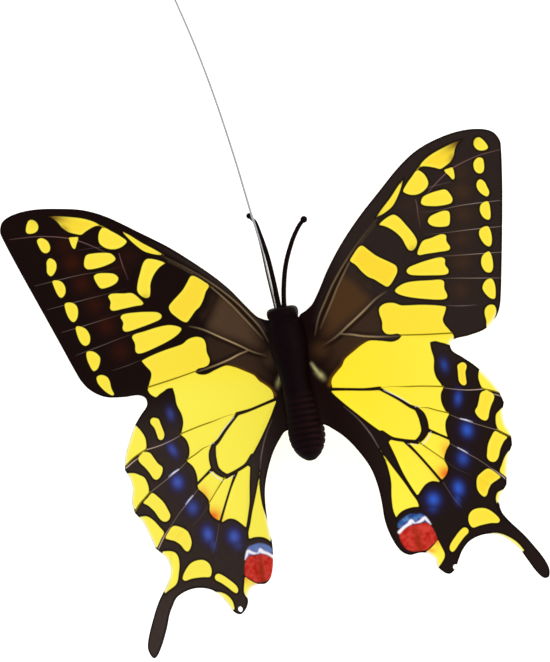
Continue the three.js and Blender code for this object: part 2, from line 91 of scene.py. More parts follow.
# The camera: it looks down on the back from a little to the right and far away.
PICTURE_HEIGHT = 145.64  # of the view, at the butterfly
CAMERA_SIDE = math.radians(22)
CAMERA_TIP = math.radians(1.87)
CAMERA_ROLL = math.radians(9.6)
CAMERA_DISTANCE = 4000.0
VIEW_CENTRE = (-3.98, 8.58)  # from the origin of the body, to the right and up in the view
SENSOR = 36.0

# ------------------------------------------------------------------ curves and distances


def smooth_curve(spots, sharp, closed, step):
    """A curve through the spots, sampled about every step. It is smooth but where sharp is true."""
    count = len(spots)
    out = []
    for i in range(count if closed else count - 1):
        j = (i + 1) % count
        chord = spots[j] - spots[i]
        length = max(np.linalg.norm(chord), 1e-6)
        slopes = []
        for k in (i, j):
            if sharp[k] or (not closed and k in (0, count - 1)):
                slopes.append(chord)
                continue
            before, after = spots[k] - spots[k - 1], spots[(k + 1) % count] - spots[k]
            reach = np.linalg.norm(before) + np.linalg.norm(after)
            slopes.append((before + after) / reach * length)
        steps = max(1, round(length / step))
        for t in np.arange(steps) / steps:
            out.append(
                spots[i] * (1 + 2 * t) * (1 - t) ** 2
                + spots[j] * t * t * (3 - 2 * t)
                + slopes[0] * t * (1 - t) ** 2
                - slopes[1] * t * t * (1 - t)
            )
    if not closed:
        out.append(spots[-1])
    return np.array(out)


def spline(points, closed=True, step=0.25):
    """A flat smooth curve through points. One marked CORNER is sharp."""
    spots = np.array([p[:2] for p in points], float)
    return smooth_curve(spots, [len(p) > 2 for p in points], closed, step)


def route(points, step):
    """An open smooth curve through points in space."""
    return smooth_curve(np.array(points, float), [False] * len(points), False, step)


def near_line(x, y, line):
    """Distance from each point to an open line, and how far along the line, 0 to 1."""
    nearest = np.full(x.shape, np.inf)
    along = np.zeros(x.shape)
    for i in range(len(line) - 1):
        (ax, ay), (bx, by) = line[i], line[i + 1]
        dx, dy = bx - ax, by - ay
        t = np.clip(((x - ax) * dx + (y - ay) * dy) / (dx * dx + dy * dy), 0, 1)
        d = np.hypot(ax + t * dx - x, ay + t * dy - y)
        closer = d < nearest
        nearest[closer] = d[closer]
        along[closer] = ((i + t) / (len(line) - 1))[closer]
    return nearest, along


def is_inside(x, y, outline):
    """Whether each point lies inside a closed outline."""
    inside = np.zeros(x.shape, bool)
    for (ax, ay), (bx, by) in zip(outline, np.roll(outline, -1, 0)):
        if ay != by:
            inside ^= ((ay > y) != (by > y)) & (x < (bx - ax) * (y - ay) / (by - ay) + ax)
    return inside


REACH = 2.0  # distances are measured this far from an outline


def close_to(x, y, line):
    """Whether each point lies in the line's box, or within reach of it."""
    low, high = line.min(0) - REACH, line.max(0) + REACH
    return (x > low[0]) & (x < high[0]) & (y > low[1]) & (y < high[1])


def depth(x, y, outline):
    """How deep each point is inside a closed outline; negative outside it."""
    near = close_to(x, y, outline)
    result = np.full(x.shape, -REACH)
    px, py = x[near], y[near]
    d, _ = near_line(px, py, np.vstack([outline, outline[:1]]))
    result[near] = np.where(is_inside(px, py, outline), d, np.maximum(-d, -REACH))
    return result


def bell(value, middle, half):
    """1 at the middle, and falling smoothly to 0 on both sides."""
    return np.exp(-(((value - middle) / half) ** 2))


def spread(values, along):
    """What evenly spaced values along a line come to at each place, 0 to 1, along it."""
    return np.interp(along, np.linspace(0, 1, len(values)), values)


def stroke(x, y, points, widths):
    """How deep each point is inside a pen stroke whose width goes through widths."""
    line = spline(points, closed=False)
    near = close_to(x, y, line)
    result = np.full(x.shape, -REACH)
    d, along = near_line(x[near], y[near], line)
    result[near] = spread(widths, along) / 2 - d
    return result


def soft_line(x, y, points, width, strengths):
    """A soft line, brightest along its middle, whose strength goes through strengths."""
    line = spline(points, closed=False)
    near = close_to(x, y, line)
    result = np.zeros(x.shape)
    d, along = near_line(x[near], y[near], line)
    result[near] = spread(strengths, along) * bell(d, 0, 0.6 * width)
    return result


def fine_lines(x, y, lines):
    """How deep each point is inside the nearest of some fine lines, and how strong that line is."""
    inside = np.full(x.shape, -REACH)
    strength = np.zeros(x.shape)
    for points, width, strengths in lines:
        line = spline(points, closed=False)
        near = np.flatnonzero(close_to(x, y, line))
        d, along = near_line(x[near], y[near], line)
        closer = width / 2 - d > inside[near]
        chosen = near[closer]
        inside[chosen] = width / 2 - d[closer]
        strength[chosen] = spread(strengths, along[closer])
    return inside, strength


def fade(d, soft):
    """0 outside and 1 inside, over a soft edge."""
    t = np.clip(d / soft * 0.5 + 0.5, 0, 1)
    return t * t * (3 - 2 * t)


def glow(x, y, centre, size, lean=0.0):
    """A soft oval spot, 1 at its middle."""
    c, s = math.cos(math.radians(lean)), math.sin(math.radians(lean))
    dx, dy = x - centre[0], y - centre[1]
    return np.exp(-(((dx * c + dy * s) / size[0]) ** 2) - ((dy * c - dx * s) / size[1]) ** 2)


# ------------------------------------------------------------------ the print

YELLOW = {
    # forewing margin, from the tip inwards
    "margin_1": [(52.5, 41.4), (53.1, 42.6), (54.3, 42.9), (55.2, 42.1), (55.9, 40.5),
                 (55.6, 39.9), (54.2, 39.7), (53, 40.2)],
    "margin_2": [(51.1, 36.4), (51.5, 37.8), (52.8, 38.6), (53.9, 38.2), (53.9, 36.8),
                 (53.4, 35.4), (52.5, 34.9), (51.5, 35.3)],
    "margin_3": [(50.6, 32.3), (51, 33.4), (52, 33.9), (52.9, 33.2), (53.2, 32),
                 (53.4, 30.7), (52.8, 29.8), (52.1, 29.9), (51, 31)],
    "margin_4": [(49.9, 27), (50.4, 28.3), (51.5, 28.9), (52.6, 28.8), (52.6, 27),
                 (52.1, 25.1), (51.4, 24.7), (50.3, 25.5)],
    "margin_5": [(48.3, 21.8), (48.7, 23), (49.8, 23.6), (51.1, 23.5), (51.4, 22.2),
                 (51.2, 20.4), (50.6, 19.2), (49.9, 19), (48.9, 19.9)],
    "margin_6": [(47.1, 15.4), (47.6, 17.1), (48.8, 18), (49.9, 18.1), (50.2, 16.6),
                 (49.8, 14.3), (48.9, 13.4), (47.7, 13.8)],
    "margin_7": [(46, 10.2), (46.5, 11.4), (47.6, 12.2), (48.9, 12.2), (49.3, 10.8),
                 (49, 8.8), (48.4, 7.6), (47.1, 8.1)],
    "margin_8": [(45.1, 4.9), (45.5, 6), (46.7, 6.7), (48, 6.4), (48.2, 5.1), (47.4, 3.5),
                 (46.4, 2.3), (45.4, 1.6), (44.8, 1.8), (45.1, 3.3)],
    # forewing, between the veins
    "apex": [(37.9, 38.4, CORNER), (39.6, 39.9), (42, 41.1), (45, 42), (48, 42.7),
             (50.4, 43, CORNER), (48.9, 42.1), (48, 41), (47.4, 39.8), (46.2, 38.6), (44.7, 37.9),
             (43.4, 37.5), (42.2, 38), (40.5, 38.6), (39.3, 38.8)],
    "apex_inner": [(33.3, 34.4), (34.5, 35.8), (36.2, 37.2), (37.9, 38.4), (39.1, 37.7),
                   (39.8, 36.3), (39.8, 34.9), (38.6, 33.7), (37, 33.1), (35.5, 33.1),
                   (34.1, 33.6)],
    "fleck": [(44.1, 37.2), (45.3, 37.5), (46.4, 37.5), (46.5, 36.4), (46.2, 35), (45.6, 34.7),
              (45, 35.6)],
    "costal": [(25.2, 29.8, CORNER), (27.5, 31.7), (30, 33.6), (32.5, 35.8), (34.3, 37.1, CORNER),
               (33.2, 35.2), (31.7, 33.2), (30, 31.5), (28, 30.5), (26.4, 30)],
    "bar_1": [(36.7, 31.1), (37.5, 32.4), (39, 32.9), (41.5, 33.2), (43.4, 33.1), (44.2, 32),
              (44.5, 30.6), (43.8, 29.8), (41, 29.7), (38.5, 30.1), (37.3, 30.5)],
    "bar_2": [(37.2, 26.9), (37.9, 27.9), (39.4, 28.4), (41.8, 28.7), (42.9, 28.2), (42.7, 26.5),
              (42, 25.2), (40.5, 25.1), (38.6, 25.5), (37.6, 26.1)],
    "bar_3": [(32.9, 20.4), (33.7, 21.8), (35, 23.1), (37, 23.4), (39.8, 23.8), (40.8, 23.3),
              (40.6, 22), (41.1, 20.6), (40.6, 19.9), (38, 19.9), (35, 20), (33.4, 20)],
    "bar_4": [(29.4, 17.1), (30.1, 17.9), (31.5, 18.3), (35, 18.8), (38.3, 18.9), (39.2, 18.3),
              (38.9, 17), (39.4, 15.8), (39.1, 15), (38, 14.8), (35, 15.2), (31.5, 15.8),
              (29.9, 16.3)],
    "bar_5": [(25.6, 13.4), (26.5, 14.2), (28.5, 14.8), (31, 14.8), (34.5, 14.4), (37, 14.1),
              (37.7, 13.5), (37.4, 12), (37.7, 10.4), (37.3, 9.7), (36, 9.6), (33, 10.2),
              (29, 11.3), (26.5, 12.4)],
    "bar_6": [(20.8, 9.2), (21.1, 10.4), (22.3, 11.1), (23.6, 11.2), (25, 10.9), (26.3, 10.2),
              (28, 9.9), (31, 9.5), (34.5, 8.8), (36.9, 8.1, CORNER), (36.2, 6.8), (35.3, 5.3),
              (35.5, 4.2), (36.2, 3), (36.9, 1.2), (33, 1.4), (29, 2.2), (25.3, 3.3), (24, 4),
              (22.5, 4.1), (21.3, 4.5), (20.7, 5.6), (21, 7.3)],
    "cell_outer": [(25.4, 28.2, CORNER), (27, 29.1), (28.5, 29.7), (29.8, 29.9), (30.9, 29.1),
                   (32.1, 27.2), (33.3, 25), (33.8, 23.3), (33.3, 22.1), (32.2, 21.3),
                   (31.2, 21.5), (30.7, 22.6), (30.2, 24.3), (29, 26), (27.3, 27.4)],
    "cell_inner": [(16.9, 21.6), (17.8, 22.7), (19.7, 24.3), (20.7, 24.5), (22, 23.2),
                   (23.5, 21.7), (26.4, 19.7), (27.5, 18.7), (27.4, 17.4), (26.3, 16), (25, 14.8),
                   (24.1, 14.5), (23, 15.3), (21.5, 16.6), (20.2, 17.4), (19, 18.8), (18, 20.4)],
    # hindwing field, its inner wedge and the marks of its dark band
    "field": [(24.9, 3.7, CORNER), (30, 2.8), (36.9, 1.6, CORNER), (36.8, 0.7), (36.2, 0),
              (35.4, -0.5), (34.4, 0), (33.2, 0.5), (32.3, 0.9), (31.1, 0.9, CORNER), (31, -0.7),
              (31.1, -2.8), (30.5, -5.2), (30.6, -7), (31.3, -8.6), (31.7, -9.6, CORNER),
              (30.8, -10.8), (30.5, -12.5), (30.9, -14.3), (31.7, -15.5, CORNER), (30.5, -17),
              (30.1, -19), (30.4, -21), (30.4, -21.9, CORNER), (29.2, -23.3), (28.4, -25),
              (28.8, -27), (28.2, -28.4), (27.1, -29.3), (26.2, -29.9, CORNER), (24.5, -29.4),
              (23, -29.8), (21.6, -31), (20.6, -32.1, CORNER), (19.6, -29.8), (18.4, -26.6),
              (17.4, -22.5), (16.5, -19.2, CORNER), (17.3, -18.2), (15.6, -16.9), (13.5, -14.8),
              (11, -12), (8.8, -9.4), (7.2, -7.3), (6.3, -6, CORNER), (6.8, -5.2), (6.8, -4.2),
              (7.3, -3.1), (8.8, -1.7), (9.8, -0.9), (10.8, 0.5), (13.2, 2), (15.4, 3.2),
              (17.3, 3.8), (20, 3.3), (22.4, 2.7), (24.1, 3)],
    "wedge": [(13.7, -18.6, CORNER), (14.3, -20.5), (15, -23), (15.3, -25.5), (15.3, -28),
              (14.8, -31), (14.6, -34), (15, -36.2, CORNER), (15.7, -35.3), (17, -34.6),
              (19, -34.3), (20.6, -34.5, CORNER), (20.4, -33), (19.5, -31.1), (18.5, -28.8),
              (17.5, -26.8), (16.3, -24.4), (15, -21.6)],
    "hook": [(35.9, -5.2), (36.5, -4.8), (37.4, -4.6), (38.1, -5.1), (38.2, -5.9), (37.6, -7),
             (37.4, -8.3), (37.2, -9.6), (36.5, -10), (35.8, -9.6), (35.4, -8.7), (35.5, -7.6),
             (35.7, -6.4)],
    "mark_2": [(39.8, -12.1), (41, -11.7), (42.4, -12.3), (43, -13.2), (42.7, -14.1),
               (41.8, -15.3), (41.1, -16.5), (40.4, -18), (39.6, -18.4), (38.5, -17.8),
               (37.7, -16.6), (37.6, -15.7), (38.4, -14.8), (39.1, -13.4)],
    "mark_3": [(41.3, -20.8), (42.6, -21.6), (44, -22.7), (43, -23.5), (41.8, -25),
               (40.9, -26.8), (39.9, -27.6), (38.8, -27.4), (38.1, -26.4), (38.4, -25),
               (39, -23.4), (40, -22)],
    "mark_4": [(34.4, -31.7), (34.9, -30.2), (36.2, -29.2), (37.8, -28.6), (38.9, -29.1),
               (40.7, -30.9), (39.8, -31.5), (38.2, -32.2), (37.2, -33.2), (36.5, -34.4),
               (35.8, -34.8), (35, -34.2), (34.4, -33)],
    "mark_5": [(30.9, -39.2), (31.3, -37.9), (32.4, -37), (34, -36.8), (35.7, -37.2),
               (37.3, -38.5), (38.4, -40.2), (37.9, -40.9), (36, -40.7), (33.5, -40.8),
               (31.7, -41), (31.1, -40.3)],
    "mark_6": [(25.4, -44.8), (25.7, -43.7), (27, -42.3), (28.5, -41), (29.7, -40.4),
               (30.6, -40.9), (30.6, -41.8), (29.5, -42.6), (28, -43.9), (26.9, -45),
               (26, -45.5)],
    # scallops that run out over the cut edge
    "scallop_1": [(41.9, -5.2, CORNER), (40.9, -6.6), (40.1, -8.5), (40.1, -10), (40.5, -11.2),
                  (42, -11.9), (44, -12.8), (46.8, -14.5, CORNER), (48, -10, CORNER)],
    "scallop_2": [(46.5, -15.6, CORNER), (44.5, -15.9), (43.2, -16.6), (42.3, -17.3),
                  (41.9, -18.5), (41.8, -19.7), (42.1, -20.8), (43, -21.6), (44.6, -22.6),
                  (46.3, -24.2, CORNER), (48, -20, CORNER)],
    "scallop_3": [(46.2, -25.5, CORNER), (45, -25.4), (43.6, -25.6), (42.3, -26.7),
                  (41.2, -28.3), (40.4, -29.8), (41.4, -31.1), (42.8, -33, CORNER),
                  (46, -30, CORNER)],
    "scallop_4": [(41.8, -33.6, CORNER), (40, -33.8), (38.8, -34.3), (38.2, -35.5),
                  (38.3, -37.3), (38.9, -39.2), (39.5, -40.7), (40.2, -41.5, CORNER),
                  (43.2, -42.9, CORNER), (44, -38, CORNER)],
    "tail_rim": [(33.6, -43, CORNER), (36, -42.7), (38, -43.2), (40.1, -44.5), (41.6, -46),
                 (42.9, -48.2, CORNER), (40, -49, CORNER), (34, -45, CORNER)],
    "lobe_outer": [(27.1, -48.6, CORNER), (27.3, -46.9), (28.2, -45.5), (29.5, -44.6),
                   (31, -44.2), (32.6, -44, CORNER), (32, -47, CORNER), (29, -50, CORNER)],
    "lobe_inner": [(23.3, -41.8, CORNER), (23.8, -43.5), (24.3, -45.3), (24.1, -46.3),
                   (23.4, -47.2), (22.3, -48.3, CORNER), (20.5, -46.5), (19.8, -44.6),
                   (21.3, -43.6), (22.4, -42.8)],
}

# The most golden and the least golden of these marks; the others lie between.
GOLDEN = ("apex", "costal", "cell_inner", "hook", "mark_4")
LEMON = ("field", "wedge", "scallop_1", "scallop_2", "scallop_3", "scallop_4", "tail_rim",
         "lobe_outer", "lobe_inner")
MIDDLE_TONE = 0.55

# Dark strokes over the yellow: points, and widths along them.
DARK = [
    ([(24.2, 3.4), (22.5, 3.4), (20.5, 3.8)], [0.2, 0.9, 0.9]),
    ([(6, -5.5), (10, -6.2), (14, -6.9), (17.2, -7.2)], [0.5, 0.35, 0.35, 0.6]),
    ([(17, -7.2), (19, -8.8), (21, -10.4), (23, -12.2), (24.4, -13.1)],
     [0.5, 0.38, 0.45, 0.5, 0.7]),
    ([(24.4, -13), (25.2, -14.8), (25.4, -16.6), (25.2, -18.2), (24.2, -19.4), (23, -20.2)],
     [0.8, 1.5, 1.7, 1.6, 1.2, 0.9]),
    ([(15.5, -17.1), (17.5, -18.5), (20.3, -19.5), (23, -20.3)], [1.2, 0.5, 0.45, 0.7]),
    ([(20.2, -19.6), (22.2, -22.4), (24.4, -25.9), (26.6, -29.6)], [0.5, 0.28, 0.3, 0.35]),
    ([(26, -18.1), (28, -19.3), (30.4, -20.8)], [0.5, 0.26, 0.3]),
    ([(39, -29), (40.6, -30.6), (42.8, -33.2)], [0.3, 0.4, 0.5]),
]

# One more stroke, on the right sheet only, where the tail's outer edge starts.
DARK_RIGHT = ([(38.5, -36.4), (38.9, -37.8), (39.5, -39.3), (40.4, -41), (41.8, -42.8)],
              [0.1, 0.9, 1.8, 2.1, 2.1])

# Thin olive vein lines over the yellow.
OLIVE = [
    ([(24.6, 3.7), (30, 2.9), (36.6, 2.1)], [0.3, 0.34, 0.34]),
    ([(17.2, -7.2), (19.5, -7.2), (23, -7.8), (27, -8.4), (31.7, -9.3)],
     [0.05, 0.12, 0.3, 0.3, 0.32]),
    ([(25, -12.9), (27, -13.3), (29, -14.2), (31.5, -15.2)], [0.05, 0.26, 0.28, 0.3]),
    ([(23.4, -20.4), (25.6, -22.5), (28.4, -25.2)], [0.34, 0.24, 0.26]),
    ([(40.3, -11.2), (42.5, -12), (44.4, -12.9), (46.6, -14.4)], [0.3, 0.26, 0.26, 0.3]),
    ([(41.8, -20.6), (43.2, -21.6), (44.8, -22.8), (46.4, -24.4)], [0.3, 0.26, 0.26, 0.3]),
    ([(37.8, 38.3), (38.7, 38.9)], [0.3, 0.3]),
]

# The forewing's first two veins, from the body on.
VEIN_1 = [(5.4, 6.7), (6.95, 10.4), (9.1, 13.6), (11.7, 17.1), (15.85, 21.6), (20.9, 26.05),
          (27.2, 30.7)]
VEIN_2 = [(6.8, 7.9), (8.6, 10.5), (10.65, 13.4), (13.1, 16.9), (17.2, 21.8), (21.5, 25.8)]

# Soft light vein lines in the forewing's brown base, and the dark lines beside them, painted shade
# of the pressed veins: points, width, strengths along them.
BASE_LIGHT = [
    (VEIN_1 + [(33, 35.6)], 0.36, [0.06, 0.36, 0.36, 0.32, 0.16, 0.08, 0.08, 0.12]),
    (VEIN_2 + [(25.2, 28.5)], 0.34, [0.06, 0.34, 0.36, 0.36, 0.16, 0.07, 0.04]),
    ([(6.8, 4.2), (10, 5.6), (13, 7.5), (17, 10), (21, 12.5), (24, 13.7)],
     0.33, [0.02, 0.36, 0.8, 0.9, 0.45, 0.03]),
    ([(11.3, 6), (13.5, 5.6), (16, 4.9), (20, 4.1), (24.4, 3.5)],
     0.34, [0.25, 0.85, 0.75, 0.4, 0.15]),
]
PAINTED_SHADE_LINES = [
    ([(6.1, 7.3), (7.8, 10.45), (9.9, 13.5), (12.4, 17), (16.5, 21.7), (21.2, 25.95),
      (26.1, 29.6)], 0.5, [0.6, 1, 1, 1, 0.7, 0.5, 0.3]),
    ([(6.8, 3.6), (10.2, 5), (13.2, 6.9), (17.3, 9.4), (21.3, 12)], 0.5, [0.5, 1, 0.9, 0.8, 0.4]),
    ([(12, 6.5), (14, 6.1), (16.5, 5.4), (20, 4.7)], 0.4, [0.3, 0.7, 0.6, 0.3]),
]

# The paler strip along the leading edge.
SHEEN = ([(6.2, 9.8), (8.3, 14.2), (11.7, 18.8), (15.6, 23.1), (21.6, 28.4), (28, 33.2)],
         1.2, [0.5, 0.9, 0.9, 0.7, 0.4, 0.2])
SHEEN_TONE = {-1: 0.85, 1: 0.25}

# Fine light vein lines on the dark ground.
LIGHT = [
    ([(35, 29.3), (40, 28.9), (46, 29), (57, 28.4)], 0.16, [0, 0.12, 0.4, 0.12]),
    ([(35, 24.4), (40, 23.9), (46, 23.5), (55.5, 22.8)], 0.16, [0, 0.12, 0.4, 0.12]),
    ([(36, 19.4), (39, 18.9), (45, 18.2), (53.5, 17.3)], 0.16, [0, 0.14, 0.4, 0.12]),
    ([(36, 14.3), (40, 13.8), (45, 12.9), (51.6, 11.8)], 0.16, [0, 0.2, 0.36, 0.1]),
    ([(36.6, 8.3), (40, 7.6), (44, 7.1)], 0.16, [0.05, 0.22, 0.05]),
    ([(36.5, 33.6), (40, 34.2), (45, 34.4)], 0.16, [0.05, 0.12, 0.05]),
    ([(31.7, -9.6), (34, -10.3), (37, -11), (40.4, -11.4)], 0.2, [0.15, 0.4, 0.6, 0.75]),
    ([(31.7, -15.6), (34, -17), (38.5, -19.2), (41.7, -20.7)], 0.16, [0.12, 0.4, 0.25, 0.3]),
    ([(30.4, -21.9), (33, -24), (36, -26.3), (38.8, -28.9)], 0.16, [0.12, 0.35, 0.2, 0.2]),
    ([(38.8, -28.9), (40.5, -30.5), (42.6, -33)], 0.22, [0.3, 0.8, 0.6]),
    ([(27, -30), (28.5, -33.5), (30, -36)], 0.2, [0.08, 0.09, 0.03]),
    ([(28.6, -25.6), (31, -27.8), (33.6, -29.4)], 0.16, [0.05, 0.05, 0.02]),
    ([(42.2, -12.6), (44.2, -13.5), (46.2, -14.6)], 0.24, [0.3, 0.75, 0.9]),
    ([(8.5, -9.8), (11, -13), (13, -16.7), (14.2, -20)], 0.34, [0.03, 0.1, 0.18, 0.08]),
]
PURPLE = [
    ([(38.6, 32.7), (41, 34.4), (45, 36.7), (48, 37.8), (53, 38.9), (56.5, 39.2), (60, 39.4)],
     0.2, [0.15, 0.45, 0.6, 0.5, 0.4, 0.3, 0.15]),
    ([(35.8, 32.1), (35.7, 30.4), (35.5, 28.8), (35.2, 26)], 0.24, [0.25, 0.4, 0.2, 0.08]),
]

# Short white glints beside the veins.
GLINTS = [
    ([(18, -7.75), (20.4, -9.4), (23.4, -11.9)], 0.2, [0.4, 0.7, 0.3]),
    ([(24.2, -12.6), (25.4, -12.7)], 0.2, [0.5, 0.2]),
    ([(23.9, -21.1), (25.4, -20), (26.6, -18.6)], 0.28, [0.3, 0.8, 0.4]),
    ([(20.8, -20.3), (23, -20.9)], 0.2, [0.3, 0.4]),
    ([(33.9, -16.9), (35.2, -17.4), (36.6, -18.1)], 0.32, [0.5, 0.9, 0.2]),
    ([(31.9, -23), (33, -23.8), (34, -24.6)], 0.3, [0.4, 0.7, 0.3]),
]

# The vein lines show more strongly on one sheet than on the other, and a painted sheen makes the
# black paler on one's forewing and on the other's hindwing and tail.
BASE_LIGHT_TONE = {-1: 1.15, 1: 0.85}
FOREWING_LIGHT_TONE = {-1: 0.5, 1: 1.0}
PAINTED_SHEEN = {-1: (0.05, 0.62), 1: (0.42, 0.2)}
PAINTED_SHEEN_TAIL = {-1: 0.3, 1: 0.05}

# The eyespot in the hindwing's inner corner.
EYESPOT_SKY = [(15, -38.2), (15.2, -36.9), (16.5, -36), (18, -35.5), (19.5, -35.6), (21, -35.9),
               (21.9, -37), (22.5, -38.6), (21, -38), (18, -38.2)]
EYESPOT_RED = [(15, -39.2), (16, -38.8), (17, -38.3), (18.3, -37.9), (19.5, -38), (20.5, -37.9),
               (21.5, -38), (22.3, -38.7), (22.8, -39.8), (23.1, -41), (23.2, -42), (22.5, -42.7),
               (21.3, -43.5), (20.3, -44), (18.5, -44), (17, -43.7), (15.9, -43), (15.1, -41.4)]
EYESPOT_WHITE = [  # strokes: points, and widths along them
    ([(15.1, -39.1), (16.2, -38.3), (17, -37.9), (17.9, -37.5)], [0.7, 0.62, 0.6, 0.75]),
    ([(17.7, -37.5), (18.2, -37.1), (18.8, -37.7)], [0.8, 0.75, 0.25]),
    ([(19.2, -37.7), (19.8, -37.6), (20.4, -37.4), (20.9, -37.1)], [0.2, 0.5, 0.6, 0.7]),
    ([(20.9, -37.1), (21.3, -36.9), (21.7, -37.5), (22.4, -38.6)], [0.7, 0.6, 0.5, 0.1]),
]
EYESPOT_STREAK = ([(18.6, -38.6), (18.8, -41), (19, -44)], 1.3, [0.4, 0.9, 0.8])

# Blue spots in the dark band, with a wider haze: middle, size, lean, strength.
BLUE = [
    ((33, -4.6), (0.8, 1.3), 0, 0.45),
    ((34.4, -12.4), (0.8, 1.4), -20, 0.65),
    ((34.9, -19.6), (1.15, 1.3), 0, 0.95),
    ((32.6, -25.6), (1.15, 1.3), 0, 0.65),
    ((30.2, -31.8), (1.1, 1.4), 0, 1.0),
    ((29.5, -34), (0.7, 1.2), 0, 0.4),
    ((24, -33.3), (1.25, 1.3), 0, 1.0),
    ((23.5, -35.2), (1.1, 1), 0, 0.28),
]
HAZE_SPREAD = 1.7
HAZE_LEVEL = 0.7
HAZE = [(centre, (HAZE_SPREAD * wide, HAZE_SPREAD * long), lean, HAZE_LEVEL * level)
        for centre, (wide, long), lean, level in BLUE]

# Orange on the yellow: middle, size, strength.
ORANGE = [((29.5, -23.6), (1.5, 2.1), 0.6), ((28.2, -28.3), (2.1, 1.75), 1.0),
          ((23, -42.2), (0.7, 1.5), 0.6), ((21, -44.3), (1.5, 0.6), 0.6)]

# Brown at the forewing's base and in its dark band: outline, soft edge, strength.
BROWN = [
    ([(5.4, 5.2), (8, 10.4), (12.5, 16.7), (14.5, 18.6), (16, 17.6), (18, 15), (19.3, 12.7),
      (17, 10.7), (12, 8), (8, 5.6)], 1.6, 1.0),
    ([(12, 6.9), (16.5, 9.3), (20.3, 10.6), (20.3, 5.5), (16, 5.4)], 0.9, 0.35),
    ([(5, 4.3), (8, 4.3), (12, 5.5), (17, 4.4), (14, 2.5), (10, 0.6), (7, -1.5), (5, 1)],
     0.9, 0.45),
    ([(15.8, 19), (17, 19.8), (18.6, 17), (20.6, 15.5), (20, 14.5), (17.6, 16.5)], 1.2, 0.25),
]

# Soft brown spots on the forewing: middle, strength.
BROWN_SPOTS = [((6.4, 3.4), 0.54), ((47, 32), 0.48), ((46, 27), 0.42), ((44.3, 22), 0.36),
               ((42.8, 17), 0.42), ((41, 11), 0.36), ((47.8, 36), 0.3), ((36.7, 29), 0.21),
               ((33.8, 31), 0.18)]
BROWN_SPOT_SIZE = (2.2, 2.0)

# The olive edge of the yellow field along the brown base, a slim wedge at the root, and the brown
# ends of yellow marks.
BASE_EDGE = [
    ([(6.5, -4.6), (7.2, -3.3), (8.7, -1.75), (9.8, -0.85), (10.8, 0.55)],
     0.7, [0.9, 0.8, 0.6, 0.5, 0.5]),
    ([(10.8, 0.55), (13.2, 2.1), (15.4, 3.3), (17.4, 3.95)], 0.5, [0.5, 0.5, 0.5, 0.2]),
]
OLIVE_WEDGE = [([(3.6, 0.7), (4.2, -0.7), (4.9, -2)], 0.5, [0.5, 1, 0.8]),
               ([(4.5, -1.4), (5, -2.1), (5.5, -3)], 0.9, [0.5, 0.9, 0.3])]
OLIVE_WEDGE_TONE = {-1: 0.65, 1: 1.0}
BROWN_ENDS = [((49.3, 42.4), (3.3, 1.3), 10, 1.0), ((46.9, 39.4), (0.9, 1.6), -35, 0.6),
              ((32.4, 21.6), (1.2, 0.8), 0, 0.35), ((25.2, 29.8), (1.6, 0.8), 40, 0.5)]

# The cut outline of one wing sheet, in stretches that meet in corners.
CUT_OUTLINE = [
    [(5.2, 12.2), (6.8, 13.2), (8.8, 15.7), (12, 20.2), (15.9, 24.5), (22.2, 30.1), (28.7, 35),
     (35.5, 39.9), (40.5, 42.6), (46, 44.2), (51.5, 44.9), (56, 44.6), (58.9, 43.5), (60.1, 41.5),
     (59.9, 39.5), (58, 31.9), (55.2, 22), (52.8, 13.7), (51.4, 8.9), (50.2, 5.6), (48.4, 3.3),
     (45.6, 1.6), (41.5, 0.9), (38, 0.7), (36.6, -0.2), (36.7, -1.8), (38.6, -3.6), (40.9, -6),
     (42.9, -8.9), (44.6, -12), (45.4, -15)],
    [(45.4, -15), (44.6, -17.2), (44.6, -19.6), (45.4, -22), (45.2, -24.5)],
    [(45.2, -24.5), (43.7, -26.9), (42.9, -29.6), (42, -32.9)],
    [(42, -32.9), (40.2, -34.9), (39.5, -36.7), (39.7, -38.7), (41.3, -41.2), (43.8, -44.3),
     (46.1, -48), (47.8, -51.2), (48.5, -53.6), (48.1, -55.2), (46.9, -55.3), (45.3, -53.3),
     (43.8, -50.2), (42.3, -46.9), (40.1, -44.4), (37.3, -43.1), (34.4, -42.8), (31.3, -43.6),
     (29.2, -45.3), (27.8, -47.4), (26.8, -49.1), (25.3, -50), (23.9, -49.2), (22.9, -47.7),
     (22.9, -46.3)],
    [(22.9, -46.3), (21.5, -44.8), (19.6, -44.3), (17.6, -44.4), (15.9, -43.1), (14.6, -39.8),
     (14, -36.1), (14, -31.7), (13.7, -28.1), (12.8, -24.2), (10.9, -20.2), (8.4, -16.4),
     (5.6, -13.6), (4.9, -13.1)],
]
SHEET_ROOT = [(2.2, -12), (1.6, -4), (2.2, 6), (3.3, 11.3)]  # hidden in the body

